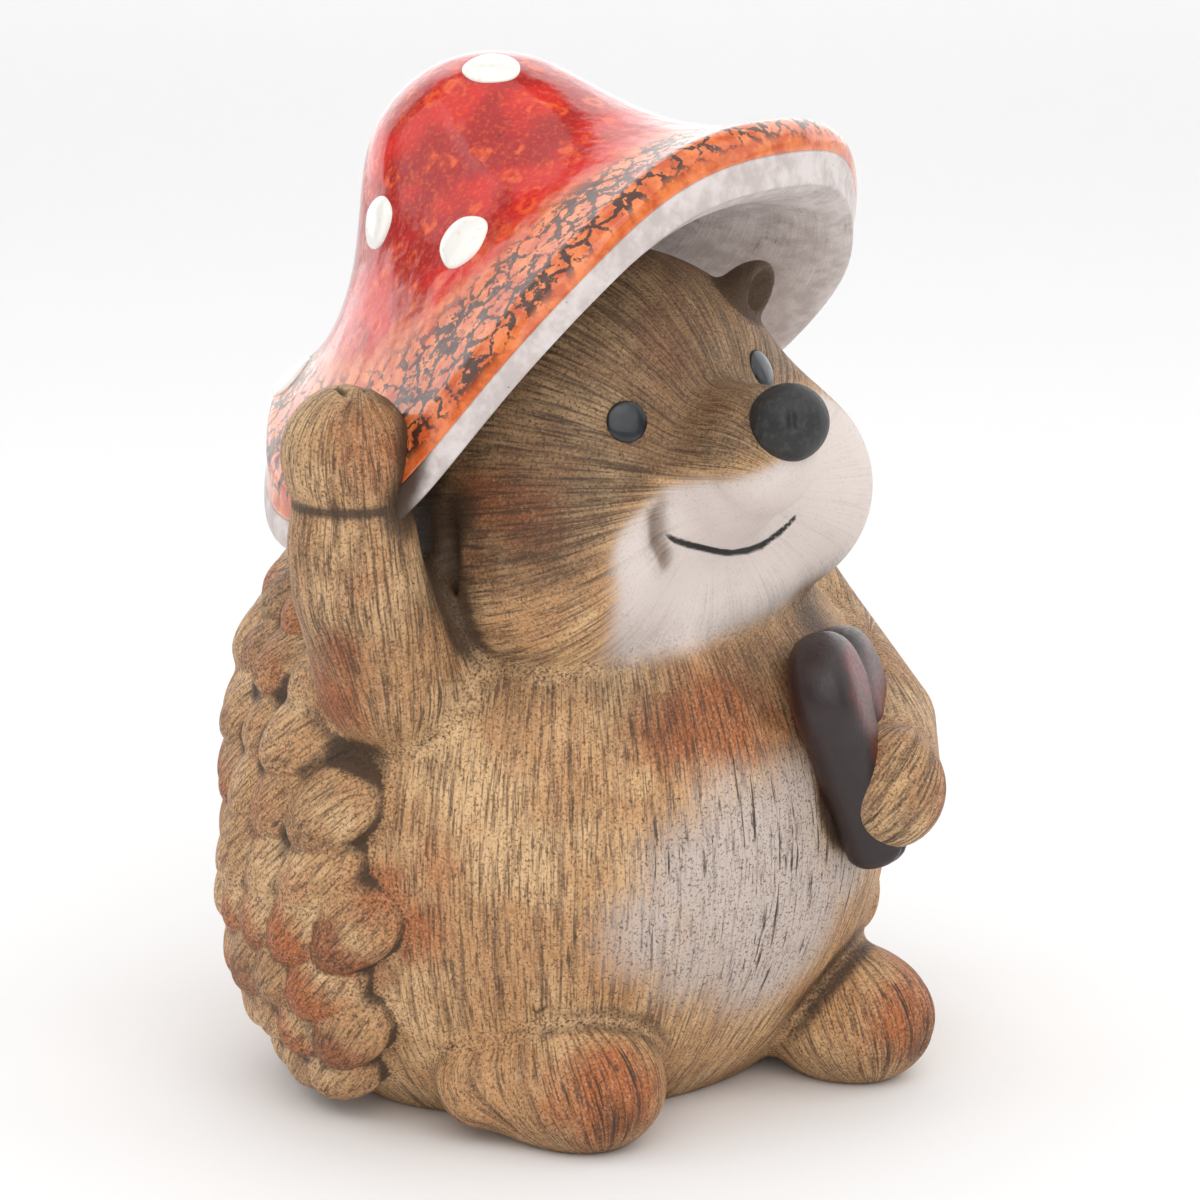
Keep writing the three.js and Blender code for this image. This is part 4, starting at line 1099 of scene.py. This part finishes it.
def hat_glaze():
    glaze = Recipe("hat_glaze")
    place = glaze.object_mm()
    rim_gap = glaze.attribute("rim_gap")
    grain = glaze.noise(place, 1.3, 4, 0.6)
    cloud = glaze.noise(place, 0.09, 3, 0.5)
    ragged = glaze.noise(place, 0.3, 6, 0.68)

    shake = glaze.add("ShaderNodeTexNoise", "Color", {"Vector": place, "Scale": 0.4, "Detail": 3.0})
    warped = glaze.add("ShaderNodeVectorMath", 0, {0: shake, 1: (3, 3, 3), 2: place}, operation="MULTIPLY_ADD")
    bubbles = glaze.add("ShaderNodeTexVoronoi", "Distance", {"Vector": warped, "Scale": 0.2})
    ring = glaze.math("ABSOLUTE", glaze.math("SUBTRACT", bubbles, 0.3))
    ring = glaze.between(ring, 0.03, 0.14, 1, 0)
    ring = glaze.times(ring, glaze.between(ragged, 0.44, 0.6, 0.1, 1))
    red = glaze.mix(glaze.between(cloud, 0.4, 0.62), GLAZE_DEEP, GLAZE_RED)
    red = glaze.mix(glaze.between(grain, 0.48, 0.7, 0, 0.45), red, RING_ORANGE)
    red = glaze.mix(glaze.times(ring, 0.8), red, RING_ORANGE)
    core = glaze.times(glaze.between(bubbles, 0.05, 0.14, 1, 0), glaze.between(ragged, 0.52, 0.6, 0, 0.7))
    red = glaze.mix(core, red, FLAKE_BLACK)
    fleck = glaze.between(glaze.noise(place, 0.75, 3, 0.6), 0.68, 0.74, 0, 0.6)
    red = glaze.mix(fleck, red, FLAKE_BLACK)

    orange = glaze.mix(glaze.between(glaze.noise(place, 0.25, 4, 0.6), 0.38, 0.64), BRIM_ORANGE, BRIM_RUST)
    cells = glaze.add("ShaderNodeTexVoronoi", "Distance", {"Vector": warped, "Scale": 0.24},
                      feature="DISTANCE_TO_EDGE")
    web = glaze.between(cells, 0.0, 0.16, 0.2, 0)
    chips = glaze.noise(place, 0.85, 5, 0.7, 0.6)
    flake = glaze.total((chips, 1), (web, 1), (glaze.noise(place, 0.13, 3, 0.5), 0.5))
    flake = glaze.between(flake, 0.82, 0.87)
    band = glaze.total((glaze.between(rim_gap, 1.0, 4.0, 0.2, 0), 1), (glaze.between(rim_gap, 16, 27, 0, 0.3), 1))
    flake = glaze.between(glaze.total((flake, 1), (band, -4.0)), 0.0, 1.0)
    orange = glaze.mix(glaze.times(flake, 0.93), orange, FLAKE_BLACK)

    ragged_step, cloud_step = (glaze.math("SUBTRACT", noise, 0.5) for noise in (ragged, cloud))
    border = glaze.total((rim_gap, 1), (ragged_step, 16.0), (cloud_step, 12.0))
    colour = glaze.mix(glaze.between(border, 19, 27), orange, red)

    swell = glaze.noise(place, 0.16, 2, 0.5)
    ridges = glaze.total((swell, 2.0), (grain, 0.12), (flake, 0.15))
    return glaze.finish(
        Base_Color=colour,
        Roughness=glaze.between(flake, 0.0, 1.0, 0.12, 0.3),
        Coat_Weight=0.35,
        Coat_Roughness=0.06,
        Normal=glaze.bump(ridges, 0.0004, 0.6),
    )


hat_glaze_material = hat_glaze()

# %% [markdown]
# The dish under the brim gets thin cream paint, brushed round, with brown wash and painted shade where it meets the
# head. The dabs on the red are thick white glaze.

# %% Cream and white materials
CREAM = paint(222, 212, 209)
CREAM_SHADE = paint(196, 184, 180)


def hat_cream():
    cream = Recipe("hat_cream")
    place = cream.object_mm()
    brushed = cream.noise(cream.attribute("brushed", "Vector"), 0.9, 4, 0.6)
    grain = cream.noise(place, 1.6, 4, 0.6)
    blotch = cream.noise(place, 0.25, 4, 0.6)
    colour = cream.mix(cream.between(blotch, 0.35, 0.65), CREAM, CREAM_SHADE)
    line = cream.times(cream.between(brushed, 0.6, 0.7), cream.between(blotch, 0.45, 0.6, 0, 0.5))
    colour = cream.mix(line, colour, SCRATCH_BROWN)
    speck = cream.between(cream.noise(place, 0.9, 3, 0.6), 0.72, 0.78, 0, 0.8)
    colour = cream.mix(speck, colour, SCRATCH_BROWN)
    # Brown wash and painted shade on the cream where the dish meets the head.
    edge = cream.total((cream.attribute("wash_and_shade"), 1), (brushed, 0.45), (blotch, 0.3))
    colour = cream.mix(cream.between(edge, 0.5, 1.3, 0, 0.95), colour, WASH_AND_SHADE_BROWN)
    relief = cream.total((brushed, 1), (grain, 0.5))
    return cream.finish(
        Base_Color=colour,
        Roughness=cream.between(grain, 0.3, 0.7, 0.45, 0.7),
        Normal=cream.bump(relief, 0.0003, 0.6),
    )


def spot_white():
    white = Recipe("spot_white")
    place = white.object_mm()
    stain = white.between(white.noise(place, 0.5, 3, 0.6), 0.55, 0.75, 0, 0.6)
    colour = white.mix(stain, paint(246, 243, 236), paint(222, 214, 204))
    pit = white.between(white.noise(place, 1.1, 2, 0.5), 0.74, 0.78, 0, 0.5)
    colour = white.mix(pit, colour, paint(178, 140, 128))
    return white.finish(
        Base_Color=colour,
        Roughness=0.16,
        Coat_Weight=0.8,
        Coat_Roughness=0.08,
        Normal=white.bump(white.noise(place, 0.3, 2, 0.5), 0.0003, 0.5),
    )


hat_cream_material = hat_cream()
spot_white_material = spot_white()

# %% [markdown]
# ## Heart, nose and eyes
# The heart is dark maroon with soft, almost black edges and a dull sheen. The nose is painted matt black, and the
# eyes are drops of black glaze.

# %% Dark materials


def heart_maroon():
    maroon = Recipe("heart_maroon")
    place = maroon.object_mm()
    cloud = maroon.noise(place, 0.14, 4, 0.55)
    grain = maroon.noise(place, 1.4, 4, 0.6)
    streak = maroon.noise(maroon.attribute("brushed", "Vector"), 1.0, 4, 0.6)
    colour = maroon.mix(maroon.between(cloud, 0.38, 0.6), paint(104, 30, 28), paint(70, 26, 26))
    colour = maroon.mix(maroon.between(streak, 0.5, 0.7, 0, 0.35), colour, paint(116, 62, 56))
    edge = maroon.total((maroon.attribute("edge"), 1), (cloud, 0.5))
    colour = maroon.mix(maroon.between(edge, 0.45, 1.1, 0, 0.9), colour, paint(30, 24, 24))
    relief = maroon.total((streak, 0.6), (grain, 0.4))
    return maroon.finish(
        Base_Color=colour,
        Roughness=maroon.between(grain, 0.3, 0.7, 0.34, 0.5),
        Coat_Weight=0.15,
        Coat_Roughness=0.3,
        Normal=maroon.bump(relief, 0.0003, 0.5),
    )


def nose_black():
    black = Recipe("nose_black")
    place = black.object_mm()
    dust = black.noise(place, 0.8, 5, 0.65)
    grain = black.noise(place, 2.2, 3, 0.6)
    colour = black.mix(black.between(dust, 0.45, 0.75), paint(34, 34, 34), paint(66, 65, 64))
    return black.finish(
        Base_Color=colour,
        Roughness=black.between(dust, 0.3, 0.7, 0.42, 0.6),
        Normal=black.bump(black.total((dust, 1), (grain, 0.4)), 0.0002, 0.6),
    )


def eye_black():
    wet = Recipe("eye_black")
    place = wet.object_mm()
    depth = wet.between(wet.noise(place, 0.6, 3, 0.6), 0.35, 0.7)
    colour = wet.mix(depth, paint(9, 11, 14), paint(26, 33, 42))
    return wet.finish(
        Base_Color=colour,
        Roughness=0.3,
        Coat_Weight=0.3,
        Coat_Roughness=0.12,
        Normal=wet.bump(wet.noise(place, 0.8, 2, 0.5), 0.0001, 0.4),
    )


heart_material, nose_material, eye_material = heart_maroon(), nose_black(), eye_black()

# %% [markdown]
# ## Cut the skin into members
# Every quad goes to the member that it lies nearest to. Neighbours have the same vertices along their border, and
# both keep the normals of the whole skin, so no seam shows. Each piece is then closed with a fan of triangles over
# every open edge. Blender can crash on a mesh with faulty faces, so each mesh is validated before it gets its normals.

# %% Pieces from the skin


def store(mesh, name, values):
    kind = "FLOAT_VECTOR" if np.ndim(values) == 2 else "FLOAT"
    layer = mesh.attributes.new(name, kind, "POINT")
    layer.data.foreach_set("vector" if kind == "FLOAT_VECTOR" else "value", np.ravel(values).astype(np.float32))


def shell(name, points, faces, normals=None, marks=None):
    """A smooth mesh object from millimetre points, with its attributes and its own normals."""
    mesh = bpy.data.meshes.new(name)
    mesh.from_pydata((points * MM).tolist(), [], faces)
    if mesh.validate():
        print("faulty faces were left out of", name)
    mesh.polygons.foreach_set("use_smooth", [True] * len(mesh.polygons))
    for key, values in (marks or {}).items():
        store(mesh, key, values)
    mesh.update()
    if normals is not None:
        mesh.normals_split_custom_set_from_vertices(normals.tolist())
    made = bpy.data.objects.new(name, mesh)
    bpy.context.scene.collection.objects.link(made)
    return made


def open_loops(faces):
    """The closed walks round the open edges of a patch of quads, each in the order that a cap needs."""
    runs = Counter()
    for i in range(4):
        runs.update(zip(faces[:, i].tolist(), faces[:, (i + 1) % 4].tolist()))
    onward = {}
    for (a, b), times in runs.items():
        onward.setdefault(b, []).extend([a] * (times - runs.get((b, a), 0)))
    onward = {here: ends for here, ends in onward.items() if ends}
    loops = []
    while onward:
        walk = [next(iter(onward))]
        while walk[-1] in onward:
            last = walk[-1]
            here = onward[last].pop()
            if not onward[last]:
                del onward[last]
            if here in walk:
                loops.append(walk[walk.index(here):])
                walk = walk[:walk.index(here) + 1]
            else:
                walk.append(here)
    return loops


def dress(piece, material, slot, *nodes):
    piece.data.materials.clear()
    piece.data.materials.append(material)
    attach(piece, "root")
    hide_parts(*nodes)
    return piece


marks = {
    "wash_and_shade": wash_and_shade, "rust": rust, "slip": slip, "ink": ink, "smooth": smooth, "calm": calm, "scratch": scratch,
}
quad_member = nearness[quads].sum(1).argmin(-1)
slots = {"torso": "body_clay", "head": "face_clay"}
slots.update({f"quill_band_{band + 1}": "quill_clay" for band in range(BAND_COUNT)})
for index, name in enumerate(names):
    faces = quads[quad_member == index]
    used, faces = np.unique(faces, return_inverse=True)
    faces = faces.reshape(-1, 4)
    points, normals = skin[used], outward[used]
    kept = {key: values[used] for key, values in marks.items()}
    kept["comb"] = comb[used]
    caps = []
    for walk in open_loops(faces):
        caps += [(walk[i], walk[(i + 1) % len(walk)], len(points)) for i in range(len(walk))]
        middle = points[walk].mean(0) - 0.5 * normals[walk].mean(0)
        points = np.vstack([points, middle])
        normals = np.vstack([normals, normals[walk].mean(0) + 1e-3])
        kept = {key: np.concatenate([values, values[walk[:1]]]) for key, values in kept.items()}
    made = shell(f"{name}_clay", points, faces.tolist() + caps, normals, kept)
    dress(made, clay_material, slots.get(name, "limb_clay"), name)
    print(made.name, len(made.data.polygons), "faces")

# %% [markdown]
# ## The hat's pieces
# The cap and its cream lining are two bodies, with the paint line between them. Both keep the bent lathe mesh. The
# normals come from the mesh itself here, since it is fine and has no joints.

# %% Hat cap and lining
rings = len(hat_outline) - 2
rim_gap = np.concatenate([
    [hat_run], np.repeat(hat_run * (1 - np.arange(1, rings + 1) / (rings + 1)), AROUND),
    np.zeros(len(dome_points) - 1 - rings * AROUND),
])
hat_cap = shell("hat_cap", dome_points, dome_faces, marks={"rim_gap": rim_gap})
dress(hat_cap, hat_glaze_material, "hat_glaze", "hat_dome")

lining_radius = np.hypot(lining_flat[:, 0], lining_flat[:, 1])
brushed = np.stack([
    lining_flat[:, 0] * ALONG_SQUEEZE, lining_flat[:, 1] * ALONG_SQUEEZE, lining_radius,
], -1)
# Where the dish nears the head it darkens: brown wash with painted shade under the brim.
head_gap = sample(clay, LOW, CELL, np.clip(lining_points, LOW, HIGH))
lining = shell("hat_lining", lining_points, lining_faces, marks={
    "wash_and_shade": 1 - fade(head_gap, 0.5, 8), "brushed": brushed,
})
dress(lining, hat_cream_material, "hat_cream", "hat_underside")
print(hat_cap.name, len(hat_cap.data.polygons), lining.name, len(lining.data.polygons))

# %% [markdown]
# ## White spots with Geometry Nodes
# Each spot is a dab of thick glaze. One drop is modelled flat, with a slightly uneven edge, and its height over the
# glaze is kept as a number on every vertex. The node tree copies it to seven places, turns each copy by chance and
# scales it a little. It then realizes the copies and drops every vertex on the hat along the seat's direction, at its
# own height. So the dabs follow the dome, which flat copies would cut into.

# %% A drop of glaze
SPOT_PLACES = [(266, 0.22), (177, 0.42), (217, 0.6), (125, 0.86), (20, 0.38), (80, 0.6), (330, 0.62)]
SPOT_STEPS, SPOT_UNEVENNESS, SPOT_SEED = 56, 0.06, 4
SPOT_LIFT, SPOT_RAY = 8 * MM, 30 * MM
DROP_OUTLINE = np.array([(0, 0.8), (1.6, 0.78), (2.9, 0.7), (3.7, 0.56), (4.2, 0.36), (4.45, 0.14), (4.5, -0.1),
                         (4.3, -0.5), (2.2, -0.6), (0, -0.6)])
drop_points, drop_faces = lathe(DROP_OUTLINE, SPOT_STEPS)
drop_angle = np.arctan2(drop_points[:, 1], drop_points[:, 0])
drop_points[:, :2] *= (1 + 0.025 * np.sin(3 * drop_angle + 0.6) + 0.015 * np.sin(5 * drop_angle))[:, None]
drop = shell("glaze_drop", drop_points, drop_faces, marks={"rise": drop_points[:, 2] * MM})

seats = np.array([on_hat(turn, share) for turn, share in SPOT_PLACES])
seat_ways = np.array([out_of_hat(turn, share) for turn, share in SPOT_PLACES])
spots = shell("white_spots", seats, [], marks={"way": seat_ways})

# %% Node tree that dabs the spots


def dabbing_tree():
    """Inputs: the drop, the hat, how uneven the dabs are, a seed and the glaze."""
    tree = bpy.data.node_groups.new("dab_spots", "GeometryNodeTree")
    for name, kind in (
        ("Seats", "NodeSocketGeometry"), ("Drop", "NodeSocketObject"), ("Hat", "NodeSocketObject"),
        ("Unevenness", "NodeSocketFloat"), ("Seed", "NodeSocketInt"), ("Glaze", "NodeSocketMaterial"),
    ):
        tree.interface.new_socket(name, in_out="INPUT", socket_type=kind)
    tree.interface.new_socket("Spots", in_out="OUTPUT", socket_type="NodeSocketGeometry")

    def node(kind, inputs=None, **settings):
        made = tree.nodes.new(kind)
        for key, value in settings.items():
            setattr(made, key, value)
        for key, value in (inputs or {}).items():
            if isinstance(value, bpy.types.NodeSocket):
                tree.links.new(value, made.inputs[key])
            else:
                made.inputs[key].default_value = value
        return made

    given = node("NodeGroupInput").outputs
    way = node("GeometryNodeInputNamedAttribute", {"Name": "way"}, data_type="FLOAT_VECTOR").outputs["Attribute"]
    rise = node("GeometryNodeInputNamedAttribute", {"Name": "rise"}, data_type="FLOAT").outputs["Attribute"]
    seat_turn = node("FunctionNodeAlignRotationToVector", {"Vector": way}, axis="Z").outputs[0]
    chance = node("FunctionNodeRandomValue", {"Seed": given["Seed"], 2: 0.0, 3: 6.28}, data_type="FLOAT").outputs[1]
    spin = node("FunctionNodeAxisAngleToRotation", {"Axis": (0, 0, 1), "Angle": chance}).outputs[0]
    turn = node("FunctionNodeRotateRotation", {0: seat_turn, 1: spin}, rotation_space="LOCAL").outputs[0]
    low = node("ShaderNodeMath", {0: 1.0, 1: given["Unevenness"]}, operation="SUBTRACT").outputs[0]
    high = node("ShaderNodeMath", {0: 1.0, 1: given["Unevenness"]}, operation="ADD").outputs[0]
    scale = node("FunctionNodeRandomValue", {"Seed": given["Seed"], 2: low, 3: high}, data_type="FLOAT").outputs[1]
    drop_shape = node("GeometryNodeObjectInfo", {"Object": given["Drop"]}).outputs["Geometry"]
    copies = node("GeometryNodeInstanceOnPoints", {
        "Points": given["Seats"], "Instance": drop_shape, "Rotation": turn, "Scale": scale,
    }).outputs[0]
    real = node("GeometryNodeRealizeInstances", {0: copies}).outputs[0]
    here = node("GeometryNodeInputPosition").outputs[0]
    lifted = node("ShaderNodeVectorMath", {0: way, 1: (SPOT_LIFT,) * 3, 2: here}, operation="MULTIPLY_ADD").outputs[0]
    down = node("ShaderNodeVectorMath", {0: way, "Scale": -1.0}, operation="SCALE").outputs[0]
    wall = node("GeometryNodeObjectInfo", {"Object": given["Hat"]}).outputs["Geometry"]
    hit = node("GeometryNodeRaycast", {
        "Target Geometry": wall, "Source Position": lifted, "Ray Direction": down, "Ray Length": SPOT_RAY,
    }).outputs
    raised = node("ShaderNodeVectorMath", {0: hit["Hit Normal"], "Scale": rise}, operation="SCALE").outputs[0]
    landed = node("ShaderNodeVectorMath", {0: hit["Hit Position"], 1: raised}, operation="ADD").outputs[0]
    laid = node("GeometryNodeSetPosition", {
        "Geometry": real, "Selection": hit["Is Hit"], "Position": landed,
    }).outputs[0]
    round_faces = node("GeometryNodeSetShadeSmooth", {0: laid}).outputs[0]
    glazed = node("GeometryNodeSetMaterial", {"Geometry": round_faces, "Material": given["Glaze"]}).outputs[0]
    node("NodeGroupOutput", {0: glazed})
    return tree


dabbing = spots.modifiers.new("dabbing", "NODES")
dabbing.node_group = dabbing_tree()
sockets = {item.name: item.identifier for item in dabbing.node_group.interface.items_tree}
for name, value in (
    ("Drop", drop), ("Hat", hat_cap), ("Unevenness", SPOT_UNEVENNESS), ("Seed", SPOT_SEED),
    ("Glaze", spot_white_material),
):
    dabbing[sockets[name]] = value
view_layer = bpy.context.evaluated_depsgraph_get()
dabbed = bpy.data.meshes.new_from_object(spots.evaluated_get(view_layer))
spots.modifiers.clear()
spots.data = dabbed
bpy.data.objects.remove(drop)
dress(spots, spot_white_material, "spot_white", *[f"hat_spot_{i + 1}" for i in range(len(SPOT_PLACES))])
print("white spots:", len(dabbed.vertices), "vertices, places", len(SPOT_PLACES))

# %% [markdown]
# ## Small sculpted pieces
# Heart, nose and eyes are sculpted like the clay, each in its own small grid and its own frame, and then turned into
# place. The heart is two lobes that meet in a crease, puffed out from its outline. The nose has a pinch in front.

# %% Sculpting in a small frame


def sculpt(name, shape, reach, cell, middle, turn, marks=None):
    """A mesh object of a shape that is given in a small frame of its own."""
    low, high = -np.array(reach, float), np.array(reach, float)
    grids = [np.arange(a, b + cell, cell) for a, b in zip(low, high)]
    field = shape(np.stack(np.meshgrid(*grids, indexing="ij"), -1))
    points, faces = surface_nets(field, low, cell)
    for _ in range(2):
        normals = slope(field, low, cell, points)
        points = points - normals * np.clip(sample(field, low, cell, points), -cell / 2, cell / 2)[:, None]
    normals = slope(field, low, cell, points)
    given = marks(points) if marks else {}
    made = shell(name, np.array(middle) + points @ turn.T, faces.tolist(), normals @ turn.T, given)
    print(name, len(faces), "faces")
    return made


# %% Heart
HEART_PLACE = surface_point(torso, BODY_MIDDLE, (0.385, -0.89, 0.21))
HEART_OUT = unit((0.59, -0.74, 0.27))
HEART_THICKNESS, HEART_SINK, HEART_LEAN = 11, 3.9, math.radians(-11)
HEART_ROUNDING, HEART_POWER = 7, 2.4
LOBE_PLACE, LOBE_RADIUS, TIP_PLACE, TIP_RADIUS = (7.8, 11.3, 0), 10.2, (2.5, -14.6, 0), 2.2
HEART_MIDDLE = HEART_PLACE + HEART_OUT * (HEART_THICKNESS / 2 - HEART_SINK)
heart_up = unit(np.array([0, 0, 1]) - HEART_OUT * HEART_OUT[2])
heart_up = np.array(Matrix.Rotation(HEART_LEAN, 3, Vector(HEART_OUT))) @ heart_up
HEART_TURN = np.stack([np.cross(heart_up, HEART_OUT), heart_up, HEART_OUT], -1)


def heart_outline(points):
    flat = np.stack([np.sqrt(points[..., 0] ** 2 + 0.5), points[..., 1], 0 * points[..., 2]], -1)
    lobe = np.sqrt(((flat - LOBE_PLACE) ** 2).sum(-1)) - LOBE_RADIUS
    return melt(lobe, taper(flat, LOBE_PLACE, TIP_PLACE, LOBE_RADIUS, TIP_RADIUS), 1.0)


def heart(points):
    edge = np.maximum(heart_outline(points) + HEART_ROUNDING, 0)
    thick = np.abs(points[..., 2]) * HEART_ROUNDING / (HEART_THICKNESS / 2)
    return ((edge ** HEART_POWER + thick ** HEART_POWER) ** (1 / HEART_POWER) - HEART_ROUNDING) * 0.8


def heart_marks(points):
    edge = fade(heart_outline(points), -5.5, -0.5)
    return {"edge": edge, "brushed": points * (1, ALONG_SQUEEZE, 1)}


heart_piece = sculpt("heart_body", heart, (20, 24, 7.5), 0.45, HEART_MIDDLE, HEART_TURN, heart_marks)
dress(heart_piece, heart_material, "heart_maroon", "heart")

# %% Nose and eyes
PINCH, PINCH_WIDTHS = ((-2.8, -3.9, 4.1), (-3.6, -4.9, 1.3)), (0.25, 0.7)
EYE_RADII, EYE_SINK = (3.25, 3.25, 0.8), 0.35


def nose(points):
    shape = ellipsoid(points, (0, 0, 0), NOSE_RADII)
    return carve(shape, taper(points, *PINCH, *PINCH_WIDTHS), 0.9)


def eye(points):
    return ellipsoid(points, (0, 0, 0), EYE_RADII)


nose_piece = sculpt("nose_ball", nose, (7.5, 7.5, 7.5), 0.35, NOSE_MIDDLE, HEAD_TURN)
dress(nose_piece, nose_material, "nose_black", "nose")
for side, word in ((-1, "right"), (1, "left")):
    spot, turn = EYES[side]
    eye_piece = sculpt(f"{word}_eye_drop", eye, (3.7, 3.7, 2), 0.2, spot - turn[:, 2] * EYE_SINK, turn)
    dress(eye_piece, eye_material, "eye_black", f"{word}_eye")
